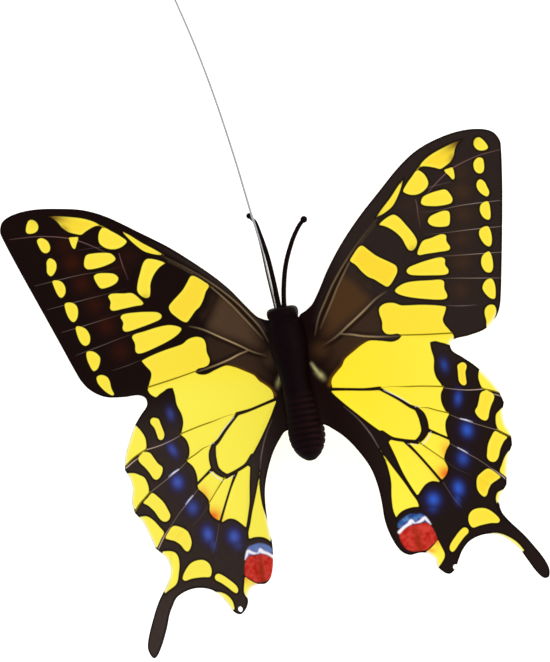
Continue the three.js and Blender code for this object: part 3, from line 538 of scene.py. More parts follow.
# Middle lines of the pressed veins, forewing first.
VEINS = [
    VEIN_1 + [(33.5, 36.6)],
    VEIN_2 + [(25.5, 28.7), (33.5, 32.8), (39, 33.7), (44, 36.4), (50, 38.6), (58, 39.4)],
    [(7.6, 4.3), (13, 7.7), (17, 10.2), (21, 12.6), (25, 14.2), (29.4, 17.2), (33, 21),
     (34.3, 26.5), (34.5, 33)],
    [(34.5, 33), (40, 33.8), (47, 34), (54.5, 33.2)],
    [(34.5, 29), (40, 29.1), (46, 28.8), (56.5, 28.3)],
    [(34, 24.2), (40, 24), (46, 23.4), (54.8, 22.8)],
    [(31, 19.8), (38, 19), (45, 18.1), (53.3, 17.2)],
    [(28, 15.6), (34, 14.6), (40, 13.7), (51.5, 11.8)],
    [(24.5, 13.6), (29, 10.8), (37.5, 8.1), (43, 7), (50, 6)],
    [(11.5, 6), (16, 4.8), (22, 3.5), (30, 2.5), (36.8, 1.5)],
    [(6.8, -5.5), (11, -6.3), (17, -7.1), (22, -7.8), (31.8, -9.3), (36, -10.6), (44.6, -13.4)],
    [(17, -7.1), (20.5, -9.8), (24, -12.6), (28, -13.7), (31.5, -15.1), (38.5, -19.3),
     (44.8, -23)],
    [(24, -12.6), (25.5, -15), (25.8, -18), (23.5, -20.3)],
    [(25.8, -18), (30.3, -20.8), (33, -23.6), (36, -26.5), (41.8, -31.9)],
    [(23.5, -20.3), (28.5, -25.3), (34.5, -29.3), (38.7, -33.4), (41, -40), (46.5, -52)],
    [(20.3, -19.6), (26.5, -29.7), (28.5, -33.5), (31.5, -43)],
    [(6.8, -6.5), (11, -11.5), (15.8, -17), (20.3, -19.6), (23.5, -20.3)],
    [(15.5, -17), (17.5, -23), (19.8, -30), (21.2, -34.5), (24.8, -46)],
]


FINE_LINES = {"base": BASE_LIGHT, "light": LIGHT, "purple": PURPLE, "glint": GLINTS}


def strongest(fields):
    """The largest of several fields at each point."""
    return np.max(list(fields), axis=0)


def print_fields(side, x, y):
    """What the print is at each point: depths in millimetres, and soft masks from 0 to 1."""
    marks = {name: depth(x, y, spline(points)) for name, points in YELLOW.items()}
    yellow = strongest(marks.values())
    for points, widths in DARK + [DARK_RIGHT] * (side > 0):
        yellow = np.minimum(yellow, -stroke(x, y, points, widths))
    tone = {**dict.fromkeys(YELLOW, MIDDLE_TONE), **dict.fromkeys(LEMON, 0), **dict.fromkeys(GOLDEN, 1)}
    brown = strongest(level * fade(depth(x, y, spline(p)), soft) for p, soft, level in BROWN)
    brown *= fade(x - 8, 3.5)  # dark again at the body
    spots = strongest(level * glow(x, y, c, BROWN_SPOT_SIZE) for c, level in BROWN_SPOTS)
    tail = fade(-43 - y, 2.5) * fade(x - 37, 4)
    # painted sheen: the black made paler on one wing of each sheet and on the tail, most on the left
    painted_sheen = (drift(PAINTED_SHEEN[side], y) + PAINTED_SHEEN_TAIL[side] * tail) * fade(x - 11, 7)
    fields = {
        "yellow": yellow,
        "olive": strongest(stroke(x, y, *line) for line in OLIVE),
        "gold": strongest(tone[name] * fade(marks[name] - 0.45, 0.6) for name in YELLOW),
        "pale": (side < 0) * (1 - 0.8 * fade(y - 1, 5)),  # the left sheet, mostly its hindwing
        "near_root": fade(24 - np.hypot(x, y + 3), 22),
        "brown": np.maximum(brown, spots),
        "ruddy": (side < 0) * fade(x - 30, 6),  # the brown in the left forewing's outer half
        "rust": strongest(soft_line(x, y, *line) for line in BASE_EDGE),
        # painted shade beside the pressed veins
        "groove": strongest(soft_line(x, y, *line) for line in PAINTED_SHADE_LINES),
        "painted_sheen": np.maximum(painted_sheen, SHEEN_TONE[side] * soft_line(x, y, *SHEEN)),
        "blue": strongest(s * glow(x, y, c, size, lean) for c, size, lean, s in BLUE),
        "haze": strongest(s * glow(x, y, c, size, lean) for c, size, lean, s in HAZE),
        "orange": strongest(s * glow(x, y, c, size) for c, size, s in ORANGE),
        "end": strongest(s * glow(x, y, c, size, lean) for c, size, lean, s in BROWN_ENDS),
        "sky": depth(x, y, spline(EYESPOT_SKY)),
        "red": depth(x, y, spline(EYESPOT_RED)),
        "streak": soft_line(x, y, *EYESPOT_STREAK),
        "white": strongest(stroke(x, y, *line) for line in EYESPOT_WHITE),
        "wedge": OLIVE_WEDGE_TONE[side] * strongest(soft_line(x, y, *w) for w in OLIVE_WEDGE),
        "left": np.full(x.shape, side < 0),
    }
    tones = {"base": BASE_LIGHT_TONE[side], "light": np.where(y > 0, FOREWING_LIGHT_TONE[side], 1)}
    for name, lines in FINE_LINES.items():
        fields[name + "_in"], strength = fine_lines(x, y, lines)
        fields[name] = strength * tones.get(name, 1)
    return fields


# ------------------------------------------------------------------ materials

WHITE = (1.0, 1.0, 1.0, 1.0)  # a shader's own colour


def seen(rgb):
    """A shader's own colour from sRGB of 0 to 255."""
    c = np.array(rgb, float) / 255
    return (*np.where(c <= 0.04045, c / 12.92, ((c + 0.055) / 1.055) ** 2.4), 1.0)


class Shading:
    """A material with one principled shader, and short calls for the nodes that feed it.

    A value in these calls is a number, another node's output, or the name of one of the mesh's
    attributes. A colour is sRGB of 0 to 255, or another node's output.
    """

    def __init__(self, name, **settings):
        self.material = bpy.data.materials.new(name)
        self.material.use_nodes = True
        self.nodes = self.material.node_tree.nodes
        self.links = self.material.node_tree.links
        self.shader = self.nodes["Principled BSDF"]
        for socket, value in settings.items():
            self.shader.inputs[socket.replace("_", " ")].default_value = value

    def put(self, socket, value):
        if isinstance(value, str):
            node = self.nodes.new("ShaderNodeAttribute")
            node.attribute_name = value
            value = node.outputs["Fac"]
        elif isinstance(value, tuple):
            value = seen(value)
        if isinstance(value, bpy.types.NodeSocket):
            self.links.new(value, socket)
        else:
            socket.default_value = value

    def noise(self, size, detail=3.0, stretch=(1, 1, 1)):
        """Noise from 0 to 1 with blotches about size millimetres wide."""
        place = self.nodes.new("ShaderNodeTexCoord")
        mapping = self.nodes.new("ShaderNodeMapping")
        mapping.inputs["Scale"].default_value = stretch
        self.links.new(place.outputs["Object"], mapping.inputs["Vector"])
        node = self.nodes.new("ShaderNodeTexNoise")
        node.inputs["Scale"].default_value = 1 / (size * MM)
        node.inputs["Detail"].default_value = detail
        self.links.new(mapping.outputs["Vector"], node.inputs["Vector"])
        return node.outputs["Fac"]

    def ramp(self, value, low, high, to_low=0.0, to_high=1.0):
        """value from low..high to to_low..to_high, with soft ends."""
        node = self.nodes.new("ShaderNodeMapRange")
        node.interpolation_type = "SMOOTHSTEP"
        ends = {"From Min": low, "From Max": high, "To Min": to_low, "To Max": to_high}
        for name, number in ends.items():
            node.inputs[name].default_value = number
        self.put(node.inputs["Value"], value)
        return node.outputs["Result"]

    def times(self, a, b):
        node = self.nodes.new("ShaderNodeMath")
        node.operation = "MULTIPLY"
        self.put(node.inputs[0], a)
        self.put(node.inputs[1], b)
        return node.outputs[0]

    def drawn(self, name, low, high):
        """How much a fine line shows: its strength, within the edges of its ink."""
        return self.times(self.ramp(name + "_in", low, high), name)

    def mix(self, share, under, over):
        node = self.nodes.new("ShaderNodeMix")
        node.data_type = "RGBA"
        node.clamp_factor = True
        self.put(node.inputs[0], share)
        self.put(node.inputs[6], under)
        self.put(node.inputs[7], over)
        return node.outputs[2]

    def coats(self, colour, *layers):
        """The colour with layers over it, each a share and the layer's own colour."""
        for share, over in layers:
            colour = self.mix(share, colour, over)
        return colour

    def bump(self, height, depth_mm, strength=1.0):
        node = self.nodes.new("ShaderNodeBump")
        node.inputs["Strength"].default_value = strength
        node.inputs["Distance"].default_value = depth_mm * MM
        self.links.new(height, node.inputs["Height"])
        self.links.new(node.outputs["Normal"], self.shader.inputs["Normal"])

    def finish(self, colour, roughness):
        self.put(self.shader.inputs["Base Color"], colour)
        self.put(self.shader.inputs["Roughness"], roughness)
        return self.material


def printed_film():
    """Print, painted sheen and shade on the film: its dark ground, the yellow marks, then the eyespot.
    """
    m = Shading("printed_film", Specular_IOR_Level=0.035)
    mottle = m.noise(1.1)
    grain = m.noise(0.16, detail=2.0)
    brown = m.coats(
        (77, 51, 28),
        # painted sheen: the left sheet's brown is greyer
        ("left", (80, 59, 42)),
        ("ruddy", (72, 24, 6)),
        (m.times(mottle, 0.3), (44, 26, 8)),
    )
    ground = m.coats(
        (13, 1, 1),
        # painted sheen over the black
        ("painted_sheen", (66, 55, 50)),
        (m.times(mottle, 0.35), (30, 12, 6)),
        ("brown", brown),
        # painted shade beside the pressed veins
        ("groove", (22, 8, 2)),
        ("haze", (34, 24, 70)),
        ("blue", m.mix(m.times("left", 0.5), (48, 88, 192), (82, 88, 160))),
        (m.drawn("base", -0.16, 0.14), (170, 144, 104)),
        (m.ramp("yellow", -0.6, -0.05, 0.0, 0.6), (20, 10, 2)),
        ("rust", (112, 72, 6)),
        (m.ramp("cut", 0.1, 0.6, 0.7, 0.0), (10, 2, 2)),
        (m.drawn("light", -0.07, 0.07), (206, 180, 164)),
        (m.drawn("purple", -0.08, 0.08), (146, 110, 106)),
        ("wedge", (184, 174, 118)),
    )
    yellow = m.coats(
        (255, 238, 74),
        ("near_root", (252, 228, 44)),
        ("gold", (252, 217, 52)),
        (m.times("pale", 0.5), (255, 246, 96)),
        (m.times(grain, 0.12), (214, 188, 30)),
        ("orange", (238, 104, 22)),
        ("end", (104, 66, 28)),
        (m.ramp("cut", 0.0, 0.8, 0.75, 0.0), (255, 249, 214)),
    )
    blotch = m.ramp(mottle, 0.3, 0.7)
    sky = m.coats((30, 62, 128), (blotch, (84, 124, 178)), (m.times("left", 0.6), (116, 132, 186)))
    red = m.coats((176, 28, 18), (blotch, (206, 62, 50)), ("streak", (150, 40, 16)))
    colour = m.coats(
        ground,
        (m.ramp("yellow", 0.02, 0.26), yellow),
        (m.ramp("olive", -0.08, 0.08), (134, 116, 4)),
        (m.ramp("sky", -0.15, 0.45), sky),
        (m.ramp("red", -0.15, 0.3), red),
        (m.ramp("white", -0.22, 0.24), (248, 240, 248)),
        (m.drawn("glint", -0.09, 0.09), (228, 232, 250)),
    )
    m.bump(m.noise(2.6, detail=1.0), 0.03, strength=0.35)
    return m.finish(colour, m.ramp(grain, 0.2, 0.8, 0.3, 0.42))


def black_plastic():
    """A matt black moulding, with a painted brownish highlight along the crests of its ribs."""
    m = Shading("black_plastic", Specular_IOR_Level=0.035)
    blotch = m.noise(2.4)
    colour = m.coats((6, 0, 1), (blotch, (16, 4, 7)), (m.times("crest_highlight", blotch), (42, 17, 19)))
    m.bump(m.noise(0.22, detail=4.0), 0.03, strength=0.5)
    return m.finish(colour, m.ramp(blotch, 0.25, 0.75, 0.5, 0.66))


def eye_plastic():
    """The same black, a little glossier."""
    m = Shading("eye_plastic", Specular_IOR_Level=0.07)
    blotch = m.noise(1.5)
    m.bump(m.noise(0.3), 0.02, strength=0.3)
    return m.finish(m.mix(blotch, (9, 3, 6), (20, 11, 14)), m.ramp(blotch, 0.3, 0.7, 0.34, 0.46))


def spring_steel():
    """Bare steel wire, with a painted dark reflection along its upper left side near the head."""
    m = Shading("spring_steel", Specular_IOR_Level=0.05)
    streak = m.noise(0.2, detail=2.0, stretch=(1, 0.1, 0.2))
    colour = m.coats((160, 162, 165), (streak, (190, 191, 193)), ("painted_dark_reflection", (30, 28, 28)))
    m.put(m.shader.inputs["Metallic"], m.ramp("painted_dark_reflection", 0.0, 1.0, 1.0, 0.0))
    return m.finish(colour, m.ramp(streak, 0.3, 0.7, 0.22, 0.34))


def stand_plastic():
    """White plastic that glows a little, so that it doesn't look grey on the floor."""
    m = Shading(
        "stand_plastic", Specular_IOR_Level=0.4, Emission_Color=WHITE, Emission_Strength=0.12
    )
    blotch = m.noise(6.0)
    colour = m.mix(blotch, (246, 246, 244), (252, 252, 251))
    m.bump(m.noise(0.35), 0.02, strength=0.4)
    return m.finish(colour, m.ramp(blotch, 0.3, 0.7, 0.42, 0.52))


# ------------------------------------------------------------------ meshes


def make_piece(name, points, faces, material, replaces, smooth=None):
    """A piece of the object from points in the body's frame, standing for some solids."""
    mesh = bpy.data.meshes.new(name)
    placed = (np.asarray(points, float) + (0, 0, AXIS_HEIGHT)) * MM
    mesh.from_pydata(placed.tolist(), [], faces)
    mesh.polygons.foreach_set("use_smooth", [True] * len(faces) if smooth is None else smooth)
    mesh.materials.append(material)
    piece = bpy.data.objects.new(name, mesh)
    bpy.context.scene.collection.objects.link(piece)
    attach(piece, "root")
    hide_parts(*replaces)
    return piece


def set_attribute(mesh, name, values):
    """Gives the mesh a value for each of its points."""
    attribute = mesh.attributes.new(name, "FLOAT", "POINT")
    attribute.data.foreach_set("value", np.asarray(values, np.float32))


def skin_faces(rings, sides):
    """Quads between rings of points, and a fan over each end. The fans' middle points come last."""
    faces = []
    for i in range(rings - 1):
        for k in range(sides):
            n = (k + 1) % sides
            a = i * sides
            faces.append((a + k, a + n, a + sides + n, a + sides + k))
    start, end = rings * sides, rings * sides + 1
    last = (rings - 1) * sides
    for k in range(sides):
        n = (k + 1) % sides
        faces.append((start, n, k))
        faces.append((end, last + k, last + n))
    return faces


def tube(path, radii, sides=20):
    """Points and faces of a round bar along a path. Its ends are closed."""
    path = np.asarray(path, float)
    ahead = np.gradient(path, axis=0)
    ahead /= np.linalg.norm(ahead, axis=1)[:, None]
    across = np.cross(ahead[0], (0.3, 0.2, 1.0))
    angles = np.arange(sides) * 2 * math.pi / sides
    points = []
    for middle, forward, radius in zip(path, ahead, radii):
        across = across - forward * (across @ forward)
        across /= np.linalg.norm(across)
        up = np.cross(forward, across)
        for angle in angles:
            points.append(middle + radius * (math.cos(angle) * across + math.sin(angle) * up))
    points += [path[0], path[-1]]
    return np.array(points), skin_faces(len(path), sides)


def turned(profile, sides, centre=(0.0, 0.0)):
    """Points and faces of a shape turned about the vertical, from its profile of (radius, z)."""
    angles = np.arange(sides) * 2 * math.pi / sides
    points = []
    for radius, z in profile:
        for angle in angles:
            x = centre[0] + radius * math.cos(angle)
            y = centre[1] + radius * math.sin(angle)
            points.append((x, y, z))
    points += [(*centre, profile[0][1]), (*centre, profile[-1][1])]
    return np.array(points), skin_faces(len(profile), sides)


# ------------------------------------------------------------------ wings


def film_height(x, y):
    """The sheet's height: it settles beside the body and then rises, its front edge highest."""
    out = np.maximum(x - FILM_ROOT_X, 0)
    share = 1 - np.exp(-out / ROOT_BEND)
    lean = FILM_SAG + FILM_PITCH * y + FILM_CAMBER * y * y
    return FILM_ROOT_Z + share * lean + DIHEDRAL * out


def drift(pair, y):
    """One value at the forewing and another at the hindwing, blended between them."""
    return pair[1] + (pair[0] - pair[1]) * fade(y - WINGS_MEET_Y, WINGS_BLEND)


def print_shift(side, y):
    """How far outwards of the pattern the print lies."""
    return drift(PRINT_DRIFT[side], y) + PRINT_DRIFT_TIP[side] * fade(y - 33, 4)


def cut_shift(side, x, y):
    """How far outwards of the pattern the outer part of the cut edge lies."""
    return drift(CUT_DRIFT[side], y) * drift((fade(x - 14, 6), fade(x - 36, 4)), y)


INNER_EDGE_X = 19  # the hindwing's inner edge lies nearer to the body than this
TAIL_ROOT = (41, -43)
TAIL_LEAN = 0.55  # outwards for each millimetre backwards


def cut_swell(side, x, y):
    """How much further out and ahead the cut edge runs than the pattern's outline."""
    swell, middle, half = CUT_INSIDE[side]
    out = swell * bell(y, middle, half) * (x < INNER_EDGE_X)
    inner_side = x < TAIL_ROOT[0] - TAIL_LEAN * (y - TAIL_ROOT[1])
    on_tail = fade(-44.5 - y, 1.5) * fade(x - 38, 3)
    out = out - TAIL_SWELL[side] * inner_side * on_tail * fade(y + 51.5, 3.5)
    out = out - TAIL_POINT[side] * ~inner_side * fade(-53.8 - y, 1.5)
    rim = TAIL_RIM[side] * inner_side * (y < 1 + TAIL_ROOT[1]) * bell(x, TAIL_ROOT[0], 2.3)
    leading = y > 0.65 * x + 6  # well ahead of the sheet's middle
    ahead = CUT_AHEAD[side] * fade(x - 16, 8) * fade(40 - x, 7)
    ahead = (ahead + CUT_NECK[side] * bell(x, 8, 4)) * leading
    return out - rim, ahead - rim


def settled(side, x, y):
    """Where a point of the flat sheet comes to lie, outwards and forwards."""
    tail = fade(-49.5 - y, 5.5) * fade(x - 37, 4)
    back = FOREWING_BACK[side] * fade(x - 14, 6) + TIP_BACK[side] * fade(x - 43, 7)
    back = back * fade(y - WINGS_MEET_Y, WINGS_BLEND)
    back = back + HIND_STRETCH[side] * np.maximum(HIND_STRETCH_Y - y, 0)
    return x + TAIL_SHIFT[side][0] * tail, y - back + TAIL_SHIFT[side][1] * tail


BITE_STEPS = 14


def with_bite(outline, centre, radius):
    """The outline with a round bite out of it where the circle runs over it."""
    out = np.hypot(*(outline - centre).T) > radius
    if out.all():
        return outline
    first = int(np.argmax(out & np.roll(~out, -1)))  # the last point before the bite
    outline = np.roll(outline, -first, 0)
    out = np.roll(out, -first)
    again = 1 + int(np.argmax(out[1:]))  # the first point after it
    start = math.atan2(*(outline[0] - centre)[::-1])
    end = math.atan2(*(outline[again] - centre)[::-1])
    for turn in (-2 * math.pi, 0, 2 * math.pi):
        angles = np.linspace(start, end + turn, BITE_STEPS)[1:-1]
        arc = centre + radius * np.stack([np.cos(angles), np.sin(angles)], 1)
        if abs(end + turn - start) < 2 * math.pi and is_inside(*arc.T, outline).all():
            bite = arc
    return np.vstack([outline[:1], bite, outline[again:]])


def sheet_outline(side):
    """The cut edge of one sheet, closed by its root inside the body."""
    outline = []
    for stretch in CUT_OUTLINE:
        outline.append(spline(stretch, closed=False, step=0.3)[:-1])
    root = [CUT_OUTLINE[-1][-1], *SHEET_ROOT, CUT_OUTLINE[0][0]]
    outline.append(spline(root, closed=False, step=0.5)[:-1])
    outline = np.vstack(outline)
    x, y = outline.T
    out, ahead = cut_swell(side, x, y)
    return np.stack([x + out + cut_shift(side, x, y), y + ahead], 1)


PUNCH_SIDES = 24
LINE_INSET = 0.25  # from the cut edge, for the drawn lines


def lattice(outline):
    """Corners of a grid of even triangles, as far as they lie inside the outline."""
    low, high = outline.min(0), outline.max(0)
    rows = np.arange(low[1], high[1], MESH_STEP * math.sqrt(0.75))
    columns = np.arange(low[0], high[0], MESH_STEP)
    grid = [np.stack([columns + (k % 2) * MESH_STEP / 2, np.full(columns.shape, y)], 1)
            for k, y in enumerate(rows)]
    grid = np.vstack(grid)
    return grid[is_inside(*grid.T, outline)]


def drawn_lines(side, outline):
    """The veins and the fine lines of the print, where they lie well inside the cut edge."""
    drawn = VEINS + [line[0] for line in OLIVE + DARK + EYESPOT_WHITE]
    drawn += [line[0] for lines in FINE_LINES.values() for line in lines]
    for points in drawn:
        line = spline(points, closed=False, step=MESH_STEP)
        line[:, 0] += print_shift(side, line[:, 1])
        yield line[depth(*line.T, outline) > LINE_INSET]


def joined(loops, lines):
    """All the points of closed loops and of open lines, and the edges between neighbours."""
    spots, edges = [], []
    count = 0
    for loop in loops:
        edges += [(count + i, count + (i + 1) % len(loop)) for i in range(len(loop))]
        spots.append(loop)
        count += len(loop)
    for line in lines:
        edges += [(count + i, count + i + 1) for i in range(len(line) - 1)
                  if np.hypot(*(line[i + 1] - line[i])) < 2 * MESH_STEP]
        spots.append(line)
        count += len(line)
    return np.vstack(spots), edges


def flat_sheet(side):
    """Points and triangles of one flat sheet, with edges along its outline and its drawn lines."""
    centre = np.array(PUNCH_CENTRE[side])
    outline = with_bite(sheet_outline(side), centre, PUNCH_RADIUS)
    holes = []
    if is_inside(centre[:1], centre[1:], outline)[0]:
        angles = np.arange(PUNCH_SIDES) * 2 * math.pi / PUNCH_SIDES
        holes.append(centre + PUNCH_RADIUS * np.stack([np.cos(angles), np.sin(angles)], 1))
    spots, edges = joined([outline] + holes, drawn_lines(side, outline))
    cell = 0.8 * MESH_STEP  # a grid point in a cell with one of these points is left out
    taken = {tuple(c) for c in np.floor(spots / cell).astype(int)}
    grid = lattice(outline)
    free = [tuple(c) not in taken for c in np.floor(grid / cell).astype(int)]
    spots = np.vstack([spots, grid[free]])
    result = delaunay_2d_cdt([Vector(p) for p in spots.tolist()], edges, [], 1, 1e-5)
    flat = np.array([tuple(v) for v in result[0]])
    triangles = np.array(result[2])
    middle = flat[triangles].mean(1)
    keep = is_inside(*middle.T, outline)
    for hole in holes:
        keep &= ~is_inside(*middle.T, hole)
    used, triangles = np.unique(triangles[keep], return_inverse=True)
    return flat[used], triangles.reshape(-1, 3)


def pressed(x, y):
    """Height of the pressed veins."""
    height = np.zeros(x.shape)
    for points in VEINS:
        line = spline(points, closed=False, step=0.5)
        near = close_to(x, y, line)
        d, along = near_line(x[near], y[near], line)
        tall = VEIN_HEIGHT * np.interp(along, (0, 0.05, 0.6, 1), (0.3, 1, 0.8, 0.3))
        height[near] = np.maximum(height[near], tall * bell(d, 0, VEIN_HALF_WIDTH))
    return height


def boundary(triangles):
    """The edges of one triangle only, as pairs that keep the sheet on their left."""
    edges = np.vstack([triangles[:, [0, 1]], triangles[:, [1, 2]], triangles[:, [2, 0]]])
    size = edges.max() + 1
    codes = edges[:, 0] * size + edges[:, 1]
    back = edges[:, 1] * size + edges[:, 0]
    return edges[~np.isin(codes, back)]


# The bake map holds the sheet's front and back side by side, and its edge in rows of cells above.
UV_SCALE = 0.0079  # of the map for each millimetre of the sheet
UV_FRONT = 0.004  # where the front's points nearest to the body lie
UV_BACK = 0.504
UV_MIDDLE = 0.42  # up the map, where the sheet's points at UV_MIDDLE_Y lie
UV_MIDDLE_Y = -5.5
UV_EDGE_START = 0.86  # up the map
UV_EDGE_COLUMNS = 100
UV_EDGE_ROW = 0.006


def make_wing(side, name, node, material):
    """One printed sheet: the same flat shape as front and back, and a rim between them."""
    flat, triangles = flat_sheet(side)
    a, b, c = flat[triangles[:, 0]], flat[triangles[:, 1]], flat[triangles[:, 2]]
    turning = (b[:, 0] - a[:, 0]) * (c[:, 1] - a[:, 1]) - (b[:, 1] - a[:, 1]) * (c[:, 0] - a[:, 0])
    triangles[turning < 0] = triangles[turning < 0][:, ::-1]
    x, y = flat.T
    count = len(flat)
    print_x = x - print_shift(side, y)
    z = film_height(x, y) + pressed(print_x, y)
    out, along = settled(side, x, y)
    front = np.stack([side * out, along, z + FILM_THICKNESS / 2], 1)
    back = np.stack([side * out, along, z - FILM_THICKNESS / 2], 1)
    rim = boundary(triangles)
    faces = triangles.tolist() + (triangles[:, ::-1] + count).tolist()
    faces += [(i, i + count, j + count, j) for i, j in rim.tolist()]
    if side < 0:
        faces = [face[::-1] for face in faces]
    smooth = [True] * (2 * len(triangles)) + [False] * len(rim)
    piece = make_piece(
        name, np.vstack([front, back]), faces, material, [node], smooth
    )
    fields = print_fields(side, print_x, y)
    fields["cut"] = depth(x, y, sheet_outline(side))
    for field, values in fields.items():
        set_attribute(piece.data, field, np.tile(values, 2))
    unwrap(piece.data, flat, count, len(triangles))


def unwrap(mesh, flat, count, triangles):
    """Lays the sheet out on the bake map."""
    corners = np.empty(len(mesh.loops), np.int32)
    mesh.loops.foreach_get("vertex_index", corners)
    x, y = flat[corners % count].T
    u = x * UV_SCALE + np.where(corners < count, UV_FRONT, UV_BACK)
    v = (y - UV_MIDDLE_Y) * UV_SCALE + UV_MIDDLE
    rim_start = 6 * triangles
    quads = len(corners[rim_start:]) // 4
    order = np.repeat(np.arange(quads), 4)
    local_u, local_v = 0.1 + 0.8 * np.tile([[0, 1], [0, 0], [1, 0], [1, 1]], (quads, 1)).T
    u[rim_start:] = (order % UV_EDGE_COLUMNS + local_u) / UV_EDGE_COLUMNS
    v[rim_start:] = UV_EDGE_START + (order // UV_EDGE_COLUMNS + local_v) * UV_EDGE_ROW
    layer = mesh.uv_layers.new(name="OFBake")
    layer.data.foreach_set("uv", np.stack([u, v], 1).astype(np.float32).ravel())


# ------------------------------------------------------------------ body

# Half width of the body along Y, tail to head.
BODY_WIDTH = [(TAIL_END_Y, 0), (-20.15, 0.85), (-19.8, 1.45), (-19.3, 2.1), (-18.7, 2.68),
              (-18, 3.15), (-17.2, 3.57), (-16, 3.96), (-14.6, 4.16), (-13, 4.14), (-10, 3.92),
              (-6.5, 3.5), (WAIST_Y, 3.12), (-0.5, 3.35), (2.5, 3.95), (5.5, 4.3), (8.5, 4.2),
              (10.2, 3.85), (11.1, 3.32), (11.7, 3.2), (12.3, 3.3), (13, 3.25), (13.55, 2.95),
              (13.9, 2.3), (HEAD_FRONT, 0)]
BODY_HEIGHT_RATIO = 0.92  # of its half height to its half width
RING_STEP = 0.11
BODY_SIDES = 112
RIB_PITCH = 1.37
RIBS_BACK_Y, RIBS_FRONT_Y = -18.6, -5.6
RIB_DEPTH = 0.08
RIB_DEPTH_LOW = 0.16  # more of it on the lower right flank
FINE_RIB_DEPTH = 0.05
ABDOMEN_SAG = 1.75
HEAD_RAISE = 0.55
NECK_Y = 11.3
HEAD_SQUARE_Y = 11.5
HEAD_SQUARE = 0.08  # of the radius, for how much the head bulges towards its corners


def body_middle(y):
    """The abdomen hangs a little below the body's axis, and the head sits a little above it."""
    return HEAD_RAISE * fade(y - NECK_Y, 0.9) - ABDOMEN_SAG * fade(-5.95 - y, 4.5)


def body_ring(y, radius):
    """The skin's points around one place of the body, and the painted highlight on its rib crests."""
    angles = np.arange(BODY_SIDES) * 2 * math.pi / BODY_SIDES
    low_right = 0.5 + 0.5 * np.cos(angles + 0.5)
    ribbed = fade(y - RIBS_BACK_Y, 1.2) * fade(RIBS_FRONT_Y - y, 1.6)
    turn = math.pi * (y - WAIST_Y) / RIB_PITCH
    rib = abs(math.sin(turn)) ** 0.7
    fine = abs(math.sin(2 * turn))
    carve = (RIB_DEPTH + RIB_DEPTH_LOW * low_right) * (1 - rib) + FINE_RIB_DEPTH * (1 - fine)
    radius = np.maximum(radius - ribbed * carve, 0.0)
    square = 1 + HEAD_SQUARE * fade(y - HEAD_SQUARE_Y, 0.6) * np.sin(2 * angles) ** 2
    x = radius * np.cos(angles) * square
    z = radius * BODY_HEIGHT_RATIO * np.sin(angles) * square + body_middle(y)
    if y > WAIST_Y:
        z = np.maximum(z, BELLY_FLAT_Z)
    # painted highlight on the rib crests, strongest on the lower right flank
    crest_highlight = ribbed * rib**3 * (0.25 + 0.75 * low_right)
    return np.stack([x, np.full(x.shape, y), z], 1), crest_highlight


def make_body(material):
    """The whole moulded body as one skin, from rings across it that crowd at both ends."""
    profile = spline(BODY_WIDTH, closed=False, step=0.08)
    profile[:, 1] = np.maximum(profile[:, 1], 0)
    stations = np.concatenate([
        [TAIL_END_Y + 0.001, TAIL_END_Y + 0.02, TAIL_END_Y + 0.06],
        np.arange(TAIL_END_Y + 0.11, HEAD_FRONT - 0.05, RING_STEP),
        [HEAD_FRONT - 0.04, HEAD_FRONT - 0.01, HEAD_FRONT - 0.001],
    ])
    rings, crest_highlights = zip(*[body_ring(y, np.interp(y, *profile.T)) for y in stations])
    ends = [(0, y, body_middle(y)) for y in (TAIL_END_Y, HEAD_FRONT)]
    points = np.vstack([*rings, ends])
    faces = [face[::-1] for face in skin_faces(len(stations), BODY_SIDES)]
    piece = make_piece("body_skin", points, faces, material,
                       ["head", "thorax", "abdomen"])
    set_attribute(piece.data, "crest_highlight", np.append(np.ravel(crest_highlights), [0, 0]))


EYE_CENTRE = (1.83, 12.72, HEAD_RAISE)
EYE_RADII = (1.62, 1.42, 2.05)
EYE_SQUARENESS = 2.7  # 2 would be an ellipsoid
EYE_RINGS, EYE_SIDES = 28, 40


def make_eye(side, name, node, material):
    """One eye lobe, a rounded block whose inner half is sunk in the head."""
    directions = []
    for i in range(1, EYE_RINGS):
        polar = math.pi * i / EYE_RINGS
        across, around = math.cos(polar), math.sin(polar)
        for k in range(EYE_SIDES):
            angle = 2 * math.pi * k / EYE_SIDES
            directions.append((across, around * math.cos(angle), around * math.sin(angle)))
    directions = np.array(directions + [(1, 0, 0), (-1, 0, 0)])
    blocky = np.sum(np.abs(directions) ** EYE_SQUARENESS, axis=1) ** (-1 / EYE_SQUARENESS)
    points = directions * blocky[:, None] * EYE_RADII
    points += (side * EYE_CENTRE[0], EYE_CENTRE[1], EYE_CENTRE[2])
    faces = [face[::-1] for face in skin_faces(EYE_RINGS - 1, EYE_SIDES)]
    make_piece(name, points, faces, material, [node])


# ------------------------------------------------------------------ antennae and wire

ANTENNA_ROUTES = {
    "left": [(-0.58, 13.2, 0.4), (-0.66, 14.3, 0.4), (-0.98, 20, 0.2), (-1.79, 26, -0.6),
             (-3.12, 31, -1.7), (-4, 33.6, -2.4), (-4.7, 34.45, -2.7), (-5.4, 35.25, -3)],
    "right": [(0.5, 13.2, 0.4), (0.6, 14.3, 0.4), (1.2, 18, 0.4), (2.42, 23, 0),
              (4.5, 28, -0.9), (6.25, 31, -1.9), (7.42, 32.3, -2.6)],
}
ANTENNA_RADII = {"left": (0.56, 0.5, 0.42), "right": (0.54, 0.52, 0.46)}  # base, middle and tip
ANTENNA_BALL_RADIUS = {"left": 0.66, "right": 0.76}
WIRE_ROUTE = [(-0.9, 13.2, 1.75), (-0.9, 14.3, 1.9), (-0.77, 21, 3.5), (-0.57, 28, 5.1),
              (-0.5, 36, 8), (-0.33, 48, 12.4), (-0.2, 61.4, 18.3), (-0.05, 73, 24.9),
              (0, 84.6, 32.9), (0, 88.5, 35.9)]
WIRE_RADIUS = 0.24
WIRE_SIDES = 16
WIRE_LOOP_RADIUS = 2.0
WIRE_LOOP_TURN = 285  # degrees
WIRE_LOOP_STEP = 15
WIRE_STEP = 0.35  # between the rings of its skin
WIRE_DARK_REFLECTION_END_Y = 28.5


